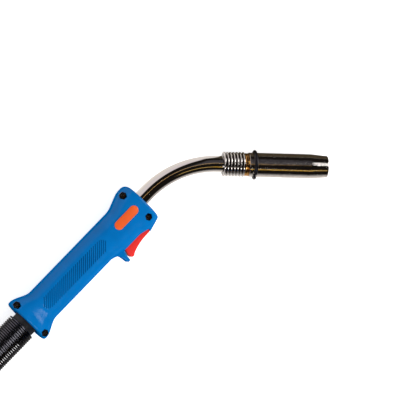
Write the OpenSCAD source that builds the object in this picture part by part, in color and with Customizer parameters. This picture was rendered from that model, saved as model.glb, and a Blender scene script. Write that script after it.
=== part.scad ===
// Gas-cooled MIG welding torch: handle, trigger, swan neck, gas nozzle,
// swivelling cable outlet, coiled cable and machine connector.
// The torch lies on its side. +X runs along the handle to the neck, +Y points away
// from the trigger, +Z is up. Inner modules are drawn about the handle's axis.

/* [Handle] */
// Length of the handle from its rear face to its front face
handle_len = 172.5; // [165:0.5:185]
// Half width of the straight grip
grip_half_w = 18.3; // [16:0.1:20]
// Half thickness of the straight grip
grip_half_t = 17; // [16:0.1:18]
// Half width of the flared rear end
flange_half_w = 26; // [25:0.1:28]
// Half thickness of the flared rear end
flange_half_t = 20; // [19:0.1:22]
// Distance of the head's upper edge from the axis
head_half_w = 25.6; // [25:0.1:28]
// Half thickness of the head
head_half_t = 19; // [18:0.1:20]
// How far the rear flare runs along the grip
flare_len = 25.5; // [22:0.5:32]
// Length of the head's flare on its upper edge
head_flare_len = 27; // [22:0.5:32]
// Wall of both shells
wall = 2.5; // [1.5:0.1:3]
// Squareness of the cross-section, 2 being an ellipse
squareness = 2.6; // [2.2:0.1:3.2]
// Rounding of the rear rim and the lower front corner
rim_r = 2.2; // [1:0.1:3]
// Rounding of the upper front corner
front_corner_r = 6; // [4:0.5:8]

/* [Grip grooves] */
// Number of slanted grooves in the upper face of the grip
groove_count = 31; // [21:2:31]
// Spacing of the grooves along the handle
groove_pitch = 2.9; // [2.6:0.1:3.2]
// Width of a groove
groove_w = 1; // [0.6:0.1:1.2]
// Depth of the grooves in the middle of the face
groove_depth = 0.7; // [0.4:0.1:0.9]
// Length of the grooved band
band_len = 92; // [80:1:96]
// Width of the grooved band
band_w = 12.8; // [10:0.1:14]

/* [Finger guard] */
// Distance of the guard's tip from the handle's axis
guard_reach = 32.4; // [30:0.1:36]
// Thickness of the guard at its tip
guard_tip_t = 3.2; // [2:0.1:4]
// Width of the guard across the handle
guard_w = 17; // [15:0.5:22]

/* [Trigger] */
// Length of the trigger
trigger_len = 33.8; // [30:0.1:36]
// Width of the trigger across the handle
trigger_w = 12; // [10:0.5:13]
// Distance of the shell's edge above the trigger from the axis
trigger_edge_y = 21.5; // [20:0.1:23]
// Distance of the trigger's nose from the axis
trigger_nose_y = 32; // [30:0.1:34]
// Radius of the trigger's nose
trigger_nose_r = 3; // [2:0.1:4]
// Travel of the trigger about its pin, in degrees
trigger_travel = 7; // [4:0.5:7]
// Diameter of the trigger's pivot pin
trigger_pin_d = 3; // [2:0.1:3.5]

/* [Microswitch] */
// Length of the switch body
switch_len = 13; // [12:0.1:14]
// Height of the switch body
switch_h = 6.5; // [5:0.1:7]
// Width of the switch body
switch_w = 5.8; // [5:0.1:7]
// Diameter of the switch's plunger
plunger_d = 2; // [1.5:0.1:2.6]

/* [Fasteners] */
// Thread diameter of the handle screws
screw_d = 4; // [3:0.5:4]
// Width across the flats of the handle nuts
nut_af = 7; // [6:0.1:7.5]
// Diameter of the handle screws' heads
screw_head_d = 7; // [6:0.1:7.4]
// Outer diameter of the screw bosses
boss_d = 8; // [7.9:0.1:9]

/* [Badge] */
// Length of the blank badge
badge_len = 31.2; // [24:0.1:33]
// Width of the blank badge
badge_w = 9.6; // [7:0.1:11]
// Thickness of the blank badge
badge_t = 1; // [0.6:0.1:1.5]

/* [Swan neck] */
// Outer diameter of the neck's chromed tube
neck_d = 16.6; // [15:0.1:18]
// Wall of the chromed tube
neck_wall = 1.5; // [1:0.1:1.8]
// Distance of the neck's axis from the handle's axis
neck_y = 3; // [0:0.1:4]
// Bend radius of the neck's axis
bend_r = 100; // [80:1:120]
// Angle of the bend
bend_angle = 47; // [30:1:55]
// Straight length between the handle's front face and the bend
neck_straight = 9.5; // [5:0.5:20]

/* [Cooling head] */
// Straight tube between the bend and the first fin
fin_start = 5.35; // [4:0.05:12]
// Number of cooling fins
fin_count = 7; // [5:1:9]
// Spacing of the cooling fins
fin_pitch = 3.34; // [3:0.01:4]
// Thickness of a cooling fin
fin_t = 1.7; // [1.2:0.1:2]
// Outer diameter of the cooling fins
fin_d = 25.8; // [24:0.1:27]
// Thickness of the brass ring behind the nozzle
ring_t = 5.2; // [3:0.1:6]
// Diameter of the brass ring
ring_d = 24.4; // [22:0.1:25]

/* [Gas nozzle] */
// Length of the gas nozzle
nozzle_len = 82.59; // [70:0.01:95]
// Outer diameter of the gas nozzle
nozzle_d = 25; // [24.5:0.1:27]
// Diameter of the nozzle's bore
nozzle_bore_d = 19.6; // [19:0.1:20.5]
// Length of the tapered end
taper_len = 17.4; // [10:0.1:25]
// Outer diameter of the nozzle's mouth
mouth_d = 22.2; // [20:0.1:24]
// Diameter of the bore at the mouth
mouth_bore_d = 17; // [16:0.1:19]
// Wire diameter of the nozzle's clip ring
clip_wire_d = 3; // [2:0.1:3.4]
// Depth of the turned seat for the clip ring
clip_seat_depth = 0.25; // [0.2:0.01:0.35]

/* [Contact tip] */
// Diameter of the contact tip
tip_d = 8; // [6:0.1:8]
// Length of the contact tip that shows past its holder
tip_len = 40; // [30:1:45]
// Diameter of the tip's bore, for 1.2 mm wire
tip_bore_d = 1.4; // [1:0.1:1.8]
// Distance of the tip's end behind the nozzle's mouth
tip_recess = 6; // [5:0.5:10]

/* [Cable outlet] */
// Radius of the swivelling ball
ball_r = 15.5; // [15.3:0.1:15.6]
// Distance of the ball's centre from the handle's rear face
ball_x = 14; // [13:0.1:14.5]
// Diameter of the collar that shows behind the handle
collar_d = 26.6; // [24:0.1:27]
// Length of the collar behind the handle
collar_len = 5.7; // [4:0.1:8]
// Swing of the cable outlet to each side, in degrees
swivel = 8; // [3:0.5:8]

/* [Bend spring] */
// Outer diameter of the bend spring
spring_d = 32; // [31:0.1:34]
// Wire diameter of the bend spring
spring_wire_d = 1.9; // [1.5:0.1:1.9]
// Pitch of the bend spring's turns
spring_pitch = 2.4; // [2.4:0.05:3]
// Number of turns of the bend spring
spring_turns = 41; // [30:1:45]
// Number of turns that narrow down to the cable
spring_taper_turns = 9; // [6:1:12]

/* [Cable] */
// Outer diameter of the coaxial cable
cable_d = 18; // [17:0.1:18]
// Centreline radius of the coil's innermost turn
coil_in_r = 72; // [72:1:80]
// Distance between neighbouring turns, and between layers
coil_pitch = 18.6; // [18.5:0.1:20]
// Turns in each of the two layers
layer_turns = 2.25; // [1.25:1:3.25]

/* [Connector] */
// Diameter of the connector's locking nut
lock_nut_d = 48; // [44:0.5:50]
// Length of the locking nut
lock_nut_len = 30; // [26:0.5:34]
// Diameter of the nut's threaded bore
lock_bore_d = 36; // [34:0.5:38]
// Length of the connector's housing
housing_len = 62; // [56:1:70]
// Diameter of the connector's centre pin
centre_pin_d = 10; // [9:0.1:11]
// Length of the centre pin in front of the insulating disc
centre_pin_len = 24; // [20:0.5:28]
// Number of turns of the connector's spring
rear_spring_turns = 24; // [16:1:28]
// Outer diameter of the connector's spring
rear_spring_d = 27; // [26:0.1:28]

/* [Hidden] */

$fn = 64;
hex_sides = 6;
e = 1; // overshoot of a cutting tool
fit = 0.05; // radial clearance of a running or slipped-on fit
near = 0.3; // space between soft or curved neighbours

// ---- the handle's outline along its axis ----
flare_start = 3;
edge_drop = trigger_edge_y - grip_half_w; // the head's lower edge lies this much further out
edge_start = 108;
edge_len = 16;
head_flare_start = handle_len - 8.5 - head_flare_len;
lip_x = handle_len - 16.1; // rear face of the lip in front of the trigger
lip_drop = 5.4;
lip_rise_len = 10;
lip_end_drop = 1;
thick_start = 100;
thick_len = 32;
ring_points = 24;

function smooth(t) = let (u = min(1, max(0, t))) u * u * (3 - 2 * u);
function rounding(d, r) = d >= r ? 0 : r - sqrt(max(0, r * r - (r - d) * (r - d)));
function flare(x) = smooth((flare_len - x) / (flare_len - flare_start));
function lip(x) = x < lip_x
    ? lip_drop * smooth((x - lip_x + lip_rise_len) / lip_rise_len)
    : lip_drop - (lip_drop - lip_end_drop) * (x - lip_x) / (handle_len - lip_x);
function upper_edge(x) = grip_half_w + (flange_half_w - grip_half_w) * flare(x)
    + (head_half_w - grip_half_w) * smooth((x - head_flare_start) / head_flare_len)
    - rounding(x, rim_r) - rounding(handle_len - x, front_corner_r);
function lower_edge(x) = -grip_half_w - (flange_half_w - grip_half_w) * flare(x)
    - edge_drop * smooth((x - edge_start) / edge_len) - lip(x)
    + rounding(x, rim_r) + rounding(handle_len - x, rim_r);
function half_thickness(x) = grip_half_t + (flange_half_t - grip_half_t) * flare(x)
    + (head_half_t - grip_half_t) * smooth((x - thick_start) / thick_len)
    - rounding(x, rim_r) - rounding(handle_len - x, rim_r);
function power(v) = sign(v) * pow(abs(v), 2 / squareness);

// Stations along the handle, from its rear face inset by w to its front face inset by w
function stations(w) = let (
    rear = [for (k = [0, 0.2, 0.55, 1]) w + (rim_r - min(w, rim_r - 0.3)) * k],
    flared = [for (k = [1:7]) rim_r + w / 3 + (flare_len - rim_r - w / 3) * k / 7],
    shoulder = [for (k = [0:4]) thick_start + thick_len * k / 4],
    head = [for (k = [1:5]) thick_start + thick_len + (lip_x - thick_start - thick_len) * k / 5],
    nose = [for (k = [1:3]) lip_x + (handle_len - front_corner_r - lip_x) * k / 3],
    tip = [for (a = [30, 55, 75, 90]) handle_len - w - (front_corner_r - w) * (1 - sin(a))]
) concat(rear, flared, shoulder, head, nose, tip);
function section(x, w) = let (
    up = upper_edge(x) - w,
    low = lower_edge(x) + w,
    t = half_thickness(x) - w
) [for (i = [0:ring_points - 1]) let (a = 360 * i / ring_points)
    [x, (up + low) / 2 + (up - low) / 2 * power(cos(a)), t * power(sin(a))]];

module loft(w) {
    xs = stations(w);
    rows = len(xs);
    n = ring_points;
    points = [for (x = xs) each section(x, w)];
    sides = [for (r = [0:rows - 2]) for (i = [0:n - 1]) let (j = (i + 1) % n)
        each [[r * n + i, (r + 1) * n + i, (r + 1) * n + j], [r * n + i, (r + 1) * n + j, r * n + j]]];
    rear_cap = [[for (i = [0:n - 1]) i]];
    front_cap = [[for (i = [n - 1:-1:0]) (rows - 1) * n + i]];
    polyhedron(points, concat(rear_cap, sides, front_cap), convexity = 6);
}

// ---- places that several pieces share ----
trigger_front = lip_x - near;
trigger_rear = trigger_front - trigger_len;
pivot = [trigger_front - 5.6, -trigger_edge_y + 2];
plunger_x = pivot[0] - 12.5;
pad_y = -trigger_edge_y + 4.8;
plunger_end_y = pad_y + near;
switch_bottom_y = plunger_end_y + 1.8;
switch_x = [plunger_x - switch_len / 2, plunger_x + switch_len / 2];
switch_peg_d = 2;
switch_peg_inset = 2.5;
terminal_t = 0.6;
blade_len = 4;
blade_y = [switch_bottom_y + 1.6, switch_bottom_y + switch_h - 1.4];
lead_d = 1.6;
slot_w = trigger_w + 0.8;
cage_t = 2.5;
screw_sites = [[4.5, 20.3], [4.5, -20.3], [handle_len - 11.5, 20.3], [handle_len - 8.5, -13.7]];
nut_z = 10.5;
nut_t = 3.2;
head_z = -10.5;
head_t = 4;
badge_site = [handle_len - 25.5, neck_y - 0.5];
badge_z = head_half_t - badge_t + 0.1;
band_x = 69.7; // middle of the grooved band

// ---- swan neck ----
neck_r = neck_d / 2;
bend_x = handle_len + neck_straight;
neck_rear_x = handle_len - 40;
bend_end = [bend_x + bend_r * sin(bend_angle), neck_y - bend_r * (1 - cos(bend_angle))];
insulation_t = 1.4;
inner_tube_wall = 1.6;
insulation_r = neck_r - neck_wall - fit;
inner_tube_r = insulation_r - insulation_t - fit;
liner_r = inner_tube_r - inner_tube_wall - 2 * fit;
liner_wall = 0.9;
nut_len = 16;
terminal_len = 20;
sleeve_len = 20;
neck_nut_af = 22;
terminal_r = 9.5;
sleeve_r = 10.6;
neck_nut_x = neck_rear_x - 8;
terminal_x = neck_nut_x - terminal_len;
sleeve_x = terminal_x - sleeve_len;

// ---- nozzle end, measured along the nozzle's axis from the end of the bend ----
fins_end = fin_start + (fin_count - 1) * fin_pitch + fin_t;
nozzle_start = fins_end + ring_t;
nozzle_end = nozzle_start + nozzle_len;
nozzle_chamfer = 0.6;
seat_overlap = 24;
insulator_r = nozzle_bore_d / 2 - fit;
insulator_end = nozzle_start + seat_overlap;
tip_end = nozzle_end - tip_recess;
tip_start = tip_end - tip_len;
holder_end = tip_start;
holder_r = 6.2;
diffuser_t = 6;
clip_s = nozzle_start + 6.2;
clip_r = nozzle_d / 2 - clip_seat_depth + fit + clip_wire_d / 2;
clip_bend_r = 2.6; // one end of the clip ring is bent back towards the fins
clip_lean = 70;
clip_reach = clip_bend_r * (1 - cos(clip_lean)) + clip_wire_d / 2 * cos(clip_lean);
clip_seat = [clip_s - clip_reach - near, clip_s + clip_wire_d / 2 + near];

// ---- ball, collar and springs ----
tail_len = 14.3;
cable_r = cable_d / 2;
curl_rings = 8; // rings in a spring's turn
spring_r = spring_d / 2 - spring_wire_d / 2;
spring_end_r = (cable_r + near + spring_wire_d / 2) / cos(180 / curl_rings);
tail_r = spring_r * cos(180 / curl_rings) - spring_wire_d / 2 - near;
collar_r = collar_d / 2;
spring_start = -collar_len - near - spring_wire_d / 2;
spring_end = spring_start - spring_turns * spring_pitch;
tail_end = -collar_len - tail_len;
rear_seat_x = 6; // the ball is held between the shells' rear wall and a ring in front of it
front_seat_x = 20;
front_seat_r = sqrt(ball_r * ball_r - pow(front_seat_x - ball_x, 2)) + 0.4;
split_gap = 3.2; // the cable is parted here, inside the ball, for the swivel
stub_x = ball_x + split_gap / 2;
stub_bend = 2 * atan2(neck_y, sleeve_x - stub_x); // the stub bends down to the ball's centre
stub_bend_r = (sleeve_x - stub_x) / sin(stub_bend);

// ---- the origin: middle of the box of the torch without its free cable, on the floor ----
function rim_x(s, r) = bend_end[0] + s * cos(bend_angle) + r * sin(bend_angle);
function rim_y(s, r) = bend_end[1] - s * sin(bend_angle) - r * cos(bend_angle);
rims = [
    [nozzle_end, mouth_d / 2 - nozzle_chamfer],
    [nozzle_end - nozzle_chamfer, mouth_d / 2],
    [nozzle_end - taper_len, nozzle_d / 2],
];
box_x = [tail_end, max([for (p = rims) rim_x(p[0], p[1])])];
box_y = [min([for (p = rims) rim_y(p[0], p[1])]), max(flange_half_w, head_half_w)];
origin = [(box_x[0] + box_x[1]) / 2, (box_y[0] + box_y[1]) / 2, -max(flange_half_t, head_half_t)];
echo(str("origin in the handle's own frame ", origin));

// ---- the cable's route, in the handle's own frame ----
floor_z = origin[2];
low_z = floor_z + cable_r; // height of a cable that lies on the floor
coil_out_r = coil_in_r + coil_pitch * layer_turns;
coil_centre = [-196, -coil_out_r];
coil_turns = 2 * layer_turns;
coil_rings = 24;
coil_lead = cable_d;
connector_y = -2 * coil_out_r;
connector_z = floor_z + lock_nut_d / 2;
connector_x = coil_centre[0] + 62; // rear end of the connector's spring
top_z = low_z + coil_pitch;
front_route = [
    [tail_end, 0, 0], [-40, 0, 0], [-65, 0, 0], [-90, 0, 0], [-104, 0, 0], [-114, 0, -0.6],
    [-124, 0, -2], [-134, 0, -4], [-144, 0, -6.6], [-154, 0, -9], [-163, 0, -10.5],
    [-171, 0, -11], [-178, 0, -11],
];

function unit(v) = v / norm(v);
function tangent(p, i) = unit(p[min(i + 1, len(p) - 1)] - p[max(i - 1, 0)]);
function total(p) = len(p) < 2 ? 0 : let (d = [for (i = [1:len(p) - 1]) norm(p[i] - p[i - 1])])
    d * [for (x = d) 1];

// A closed tube of n sides along the points p, turned by the directions in up
module tube(p, up, r, n) {
    rings = len(p);
    points = [for (i = [0:rings - 1]) let (
        t = tangent(p, i),
        side = unit(cross(t, up[i])),
        top = cross(side, t)
    ) for (k = [0:n - 1]) p[i] + r * (cos(90 + 360 * k / n) * side + sin(90 + 360 * k / n) * top)];
    walls = [for (i = [0:rings - 2]) for (k = [0:n - 1]) let (m = (k + 1) % n)
        each [[i * n + k, i * n + m, (i + 1) * n + m], [i * n + k, (i + 1) * n + m, (i + 1) * n + k]]];
    first = [for (k = [1:n - 2]) [0, k + 1, k]];
    last = [for (k = [1:n - 2]) (rings - 1) * n * [1, 1, 1] + [0, k, k + 1]];
    polyhedron(points, concat(first, walls, last), convexity = 10);
}

// Least distance between the surfaces of turns that lie a full turn apart, for rings per turn
function least_gap(p, per_turn, d) = min([for (i = [0:len(p) - 1])
    for (j = [i + per_turn - 3:1:min(len(p) - 1, i + per_turn + 3)]) norm(p[i] - p[j]) - d]);
function least_gap_all(p, skip, d) = min([for (i = [0:len(p) - 1])
    for (j = [i + skip:1:len(p) - 1]) norm(p[i] - p[j]) - d]);

// A spring about the X axis: its start, direction, radius, turns and the narrowing at its far end
function spring_radius(t, r, turns, taper_turns, r_end) =
    r - (r - r_end) * smooth((t - turns + taper_turns) / (taper_turns - 1));
function spring_points(x, way, r, turns, taper_turns, r_end, pitch, wire) = let (
    n = turns * curl_rings,
    curl = [for (i = [0:n]) let (
        t = i / curl_rings,
        a = 360 * t,
        q = spring_radius(t, r, turns, taper_turns, r_end)
    ) [x + way * pitch * t, q * cos(a), q * sin(a)]],
    first = unit(curl[0] - curl[1]),
    last = unit(curl[n] - curl[n - 1])
) concat([curl[0] + wire * first], curl, [curl[n] + wire * last]);
function radial(p) = [for (q = p) unit([0, q[1], q[2]])];

bend_spring_points = spring_points(spring_start, -1, spring_r, spring_turns, spring_taper_turns,
    spring_end_r, spring_pitch, spring_wire_d);
rear_spring_r = rear_spring_d / 2 - spring_wire_d / 2;
rear_spring_len = rear_spring_turns * spring_pitch;
housing_x = connector_x + rear_spring_len + near;
rear_spring_points = spring_points(housing_x - near - spring_wire_d / 2, -1, rear_spring_r,
    rear_spring_turns, spring_taper_turns, spring_end_r, spring_pitch, spring_wire_d);

// The coil spirals in along its lower layer, climbs in the half turn where it reverses, and
// spirals out along its upper layer
function coil_r_at(t) = coil_in_r + coil_pitch * abs(t - layer_turns);
function coil_z_at(t) = low_z + coil_pitch * smooth((t - layer_turns + 0.25) / 0.5);
coil_curve = [for (i = [0:coil_turns * coil_rings]) let (t = i / coil_rings, a = 90 + 360 * t)
    [coil_centre[0] + coil_r_at(t) * cos(a), coil_centre[1] + coil_r_at(t) * sin(a), coil_z_at(t)]];
coil_points = concat([[coil_centre[0] + coil_lead, 0, low_z]], coil_curve,
    [[coil_centre[0] + coil_lead, connector_y, top_z]]);
rear_level = 0.05; // share of the rear stretch that goes on level from the coil
rear_drop = 0.36; // share in which it comes down to the connector
rear_route = [for (k = [0, rear_level, 0.12, 0.19, 0.26, 0.33, 0.41, 0.6, 0.8, 1]) [
    coil_centre[0] + coil_lead + (housing_x + 12 - coil_centre[0] - coil_lead) * k,
    connector_y,
    top_z + (connector_z - top_z) * smooth((k - rear_level) / rear_drop),
]];

echo(str("bend spring, least gap to itself ", least_gap(bend_spring_points, curl_rings, spring_wire_d)));
echo(str("rear spring, least gap to itself ", least_gap(rear_spring_points, curl_rings, spring_wire_d)));
echo(str("cable coil, least gap to itself ", least_gap_all(coil_points, coil_rings / 2, cable_d)));
echo(str("cable lengths: front ", total(front_route), ", coil ", total(coil_points),
    ", rear ", total(rear_route), ", in all ",
    total(front_route) + total(coil_points) + total(rear_route)));

// ---- placing ----
module in_row() translate(-origin) children();
// along X: a piece drawn along +Z is turned to run along +X
module along_x(x, y = 0, z = 0) translate([x, y, z]) rotate([0, 90, 0]) children();
// on the nozzle's axis, drawn along +Z from the end of the bend
module on_nozzle(s = 0)
    translate([bend_end[0], bend_end[1], 0]) rotate([0, 0, -bend_angle]) rotate([0, 90, 0])
        translate([0, 0, s]) children();
module on_connector(x = 0) along_x(housing_x + x, connector_y, connector_z) children();
module pipe(r, bore, h) difference() {
    cylinder(r = r, h = h);
    translate([0, 0, -e]) cylinder(r = bore, h = h + 2 * e);
}
module hexagon(af, h) cylinder(d = af / cos(30), h = h, $fn = hex_sides);

// ---- handle ----
module guard_profile() {
    tip = -guard_reach;
    x0 = trigger_rear - 1.6;
    polygon([
        [x0 - 12, -grip_half_w + 3], [x0 - 9.4, -grip_half_w], [x0 - 6.4, -grip_half_w - 2],
        [x0 - 4.8, -grip_half_w - 4.4], [x0 - 3.9, -grip_half_w - 8],
        [x0 - 0.9 - guard_tip_t, tip + 2], [x0 - 0.3 - guard_tip_t, tip + 0.5],
        [x0 + 0.2 - guard_tip_t, tip], [x0 - 1, tip], [x0 - 0.4, tip + 0.6], [x0 - 0.2, tip + 2.4],
        [x0 + 0.3, tip + 5.4], [x0 + 0.8, tip + 8], [x0 + 2.4, -trigger_edge_y],
        [x0 + 2.4, -grip_half_w + 3],
    ]);
}
module pill(len, w) {
    reach = (len - w) / 2;
    for (s = [-1, 1]) translate([s * reach, 0]) circle(d = w);
    square([2 * reach, w], center = true);
}
module badge_outline(grow) translate(badge_site) pill(badge_len + 2 * grow, badge_w + 2 * grow);
module handle_outside() {
    loft(0);
    linear_extrude(guard_w, center = true) guard_profile();
}
// What stands inside the shells: the ball's two seats, ribs, bosses, pegs and the trigger's cage
module inner_stays() {
    depth = 2 * flange_half_t;
    for (x = [[-e, rear_seat_x], [front_seat_x, front_seat_x + 3], [terminal_x + 4, terminal_x + 7],
            [handle_len - 8, handle_len + e]])
        translate([x[0], -depth, -depth]) cube([x[1] - x[0], 2 * depth, 2 * depth]);
    translate([neck_nut_x + nut_len + 3, neck_y - neck_r - 1, -depth]) cube([3, 2 * depth, 2 * depth]);
    for (p = screw_sites) translate([p[0], p[1], -depth]) cylinder(d = boss_d, h = 2 * depth);
    for (s = [-1, 1])
        translate([(s > 0 ? switch_x[1] : switch_x[0]) - s * switch_peg_inset,
                switch_bottom_y + switch_h / 2, 0]) {
            translate([0, 0, -depth]) cylinder(d = switch_peg_d, h = 2 * depth);
            for (m = [0, 1]) mirror([0, 0, m])
                translate([0, 0, switch_w / 2 + near]) cylinder(d = 4.4, h = depth);
        }
    for (m = [0, 1]) mirror([0, 0, m])
        translate([trigger_rear - 1, -guard_reach, slot_w / 2])
            cube([lip_x - trigger_rear + 4, guard_reach + switch_bottom_y - near, cage_t]);
}
// room for the finger, and the slot through which the trigger stands out
module trigger_cuts() {
    translate([0, 0, -2 * flange_half_t]) linear_extrude(4 * flange_half_t)
        polygon([[trigger_rear + 0.8, -2 * guard_reach], [trigger_rear + 0.8, -trigger_edge_y],
            [lip_x - 7, -trigger_edge_y], [lip_x, -trigger_edge_y - 1.4], [lip_x, -2 * guard_reach]]);
    translate([trigger_rear - 0.8, -2 * guard_reach, -slot_w / 2])
        cube([lip_x - trigger_rear + 0.8, 2 * guard_reach - trigger_edge_y + 6, slot_w]);
    translate([pivot[0], pivot[1], -trigger_w]) cylinder(d = trigger_pin_d + 2 * fit, h = 2 * trigger_w);
}
// the opening through which the ball's collar swings, and the ring the ball bears on in front
module outlet_outline() {
    swing = ball_x * tan(swivel) + collar_r * (1 / cos(swivel) - 1);
    opening_d = 2 * (collar_r + near);
    rotate([0, 0, 90]) pill(opening_d + 2 * swing, opening_d);
}
module outlet_cuts() {
    along_x(-e) linear_extrude(rear_seat_x + 2 * e) outlet_outline();
    along_x(front_seat_x - e) cylinder(r = front_seat_r, h = 3 + 2 * e);
}
module rib_cuts() {
    // notch for the switch's leads
    translate([terminal_x, blade_y[0] - lead_d, -lead_d])
        cube([terminal_len, blade_y[1] - blade_y[0] + 2 * lead_d, 2 * lead_d]);
    along_x(terminal_x - e, neck_y) cylinder(r = terminal_r + fit, h = terminal_len + e);
    along_x(neck_nut_x + nut_len - e, neck_y) cylinder(r = neck_r + fit, h = handle_len);
}
module fastener_cuts() {
    for (p = screw_sites) translate([p[0], p[1], 0]) {
        translate([0, 0, -flange_half_t]) cylinder(d = screw_d + 0.4, h = 2 * flange_half_t);
        translate([0, 0, nut_z]) hexagon(nut_af + 0.3, flange_half_t);
        translate([0, 0, head_z - flange_half_t - head_t])
            cylinder(d = screw_head_d + 0.4, h = flange_half_t + head_t);
    }
    translate([0, 0, badge_z]) linear_extrude(head_half_t) badge_outline(0.1);
}
module groove_cuts() translate([band_x, 0, grip_half_t - groove_depth]) linear_extrude(groove_depth + e)
    intersection() {
        pill(band_len, band_w);
        for (k = [0:groove_count - 1]) translate([(k - (groove_count - 1) / 2) * groove_pitch, 0])
            rotate([0, 0, 45]) square([2 * band_w, groove_w], center = true);
    }
module hollow_half(side) difference() {
    intersection() {
        handle_outside();
        translate([-e, -2 * guard_reach, side > 0 ? 0 : -2 * flange_half_t])
            cube([handle_len + 2 * e, 4 * guard_reach, 2 * flange_half_t]);
    }
    difference() {
        loft(wall);
        inner_stays();
    }
}
module half_shell(side) difference() {
    difference() {
        difference() {
            difference() {
                hollow_half(side);
                fastener_cuts();
            }
            rib_cuts();
        }
        outlet_cuts();
    }
    trigger_cuts();
}
module handle_shell_upper() color("#0073c8") in_row() difference() {
    half_shell(1);
    groove_cuts();
}
module handle_shell_lower() color("#0068b8") in_row() half_shell(-1);
module handle_screws() color("#b8b8bc") in_row() for (p = screw_sites) translate([p[0], p[1], 0]) {
    translate([0, 0, head_z]) cylinder(d = screw_d, h = nut_z + nut_t - head_z + 0.5);
    translate([0, 0, head_z - head_t]) difference() {
        cylinder(d = screw_head_d, h = head_t);
        translate([0, 0, -e]) hexagon(3, 2 + e);
    }
}
module handle_nuts() color("#2a2a2c") in_row() for (p = screw_sites) translate([p[0], p[1], nut_z])
    difference() {
        hexagon(nut_af, nut_t);
        translate([0, 0, -e]) cylinder(d = screw_d + 2 * fit, h = nut_t + 2 * e);
    }
module badge() color("#f5601e") in_row() translate([0, 0, badge_z]) linear_extrude(badge_t) badge_outline(0);

// ---- trigger and switch ----
finger_r = 62; // hollow of the finger rest
function arc(c, r, from, to, n) = [for (k = [0:n]) let (a = from + (to - from) * k / n)
    [c[0] + r * cos(a), c[1] + r * sin(a)]];
module trigger_profile() {
    front_y = -trigger_edge_y - 4.7;
    rest = [trigger_front - 5, front_y - finger_r];
    nose = [trigger_rear + trigger_nose_r + 0.4, -trigger_nose_y + trigger_nose_r];
    polygon(concat(
        [[trigger_front, -trigger_edge_y - 1], [trigger_front, -trigger_edge_y - 3]],
        arc([trigger_front - 1.6, front_y + 1.6], 1.6, 0, -90, 4),
        arc(rest, finger_r, 90, 111, 8),
        arc(nose, trigger_nose_r, -50, -180, 8),
        [[trigger_rear, -trigger_edge_y - 5.5], [trigger_rear + 1.2, -trigger_edge_y - 1.5],
            [trigger_rear + 2.4, -trigger_edge_y + 3], [plunger_x - 2.4, -trigger_edge_y + 3],
            [plunger_x - 2, pad_y], [plunger_x + 2, pad_y], [plunger_x + 2.4, -trigger_edge_y + 3]],
        arc(pivot, 3.2, 120, 10, 8)
    ));
}
module trigger() color("#ff3a35") in_row() difference() {
    linear_extrude(trigger_w, center = true) trigger_profile();
    translate([pivot[0], pivot[1], -trigger_w]) cylinder(d = trigger_pin_d + 2 * fit, h = 2 * trigger_w);
}
module trigger_pin() color("#b8b8bc") in_row() translate([pivot[0], pivot[1], -slot_w / 2 - cage_t])
    cylinder(d = trigger_pin_d, h = slot_w + 2 * cage_t);
module microswitch_body() color("#1c1c1e") in_row() difference() {
    translate([switch_x[0], switch_bottom_y, -switch_w / 2]) cube([switch_len, switch_h, switch_w]);
    for (x = [switch_x[0] + switch_peg_inset, switch_x[1] - switch_peg_inset])
        translate([x, switch_bottom_y + switch_h / 2, -switch_w])
            cylinder(d = switch_peg_d + near, h = 2 * switch_w);
    translate([plunger_x, switch_bottom_y - e, 0]) rotate([-90, 0, 0])
        cylinder(d = plunger_d + 2 * fit, h = 4.5 + e);
}
module switch_plunger() color("#e8e4d8") in_row() translate([plunger_x, plunger_end_y, 0])
    rotate([-90, 0, 0]) cylinder(d = plunger_d, h = 4);
module switch_terminals() color("#c8b060") in_row() for (y = blade_y)
    translate([switch_x[0] - blade_len, y - terminal_t / 2, -1.4]) cube([blade_len, terminal_t, 2.8]);
lead_end_x = sleeve_x - 8;
module switch_leads() color("#d8d8d8") in_row() for (k = [0, 1])
    translate([0, blade_y[k], 0]) {
        x1 = switch_x[0] - blade_len;
        along_x(lead_end_x - 3 * k, 0, 0) cylinder(d = lead_d, h = x1 - lead_end_x + 3 * k);
    }

// ---- swan neck: tubes bent to the same arc ----
module bent_ring(r, bore) difference() {
    circle(r = r);
    circle(r = bore);
}
module neck_layer(r, bore, rear_x) {
    along_x(rear_x, neck_y) pipe(r, bore, bend_x - rear_x);
    translate([bend_x, neck_y - bend_r, 0]) rotate([0, 0, 90])
        rotate_extrude(angle = -bend_angle, $fn = 120) translate([bend_r, 0]) bent_ring(r, bore);
}
module neck_outer_tube() color("#9c9a96") in_row() neck_layer(neck_r, neck_r - neck_wall, neck_rear_x);
module neck_insulation() color("#2c2622") in_row()
    neck_layer(insulation_r, insulation_r - insulation_t, neck_rear_x);
module neck_inner_tube() color("#b87333") in_row()
    neck_layer(inner_tube_r, inner_tube_r - inner_tube_wall, neck_rear_x - 3);
module wire_liner() color("#8c8c90") in_row()
    neck_layer(liner_r, liner_r - liner_wall, neck_rear_x - 6);
module neck_nut() color("#c8a24a") in_row() along_x(neck_nut_x, neck_y) difference() {
    hexagon(neck_nut_af, nut_len);
    translate([0, 0, neck_rear_x - neck_nut_x]) cylinder(r = neck_r + fit, h = nut_len);
    translate([0, 0, -e]) cylinder(r = inner_tube_r + fit, h = nut_len);
}
module cable_terminal() color("#c8a24a") in_row() along_x(terminal_x, neck_y)
    pipe(terminal_r, liner_r + fit, terminal_len);
module crimp_sleeve() color("#b89040") in_row() along_x(sleeve_x, neck_y)
    pipe(sleeve_r, cable_r + fit, sleeve_len);
// the cable's own core, from the crimp down to the ball's centre
module cable_stub() color("#1a1a1b") in_row() {
    along_x(sleeve_x, neck_y) cylinder(r = cable_r, h = sleeve_len);
    translate([sleeve_x, neck_y - stub_bend_r, 0]) rotate([0, 0, 90])
        rotate_extrude(angle = stub_bend, $fn = 240) translate([stub_bend_r, 0]) circle(r = cable_r);
}

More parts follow.
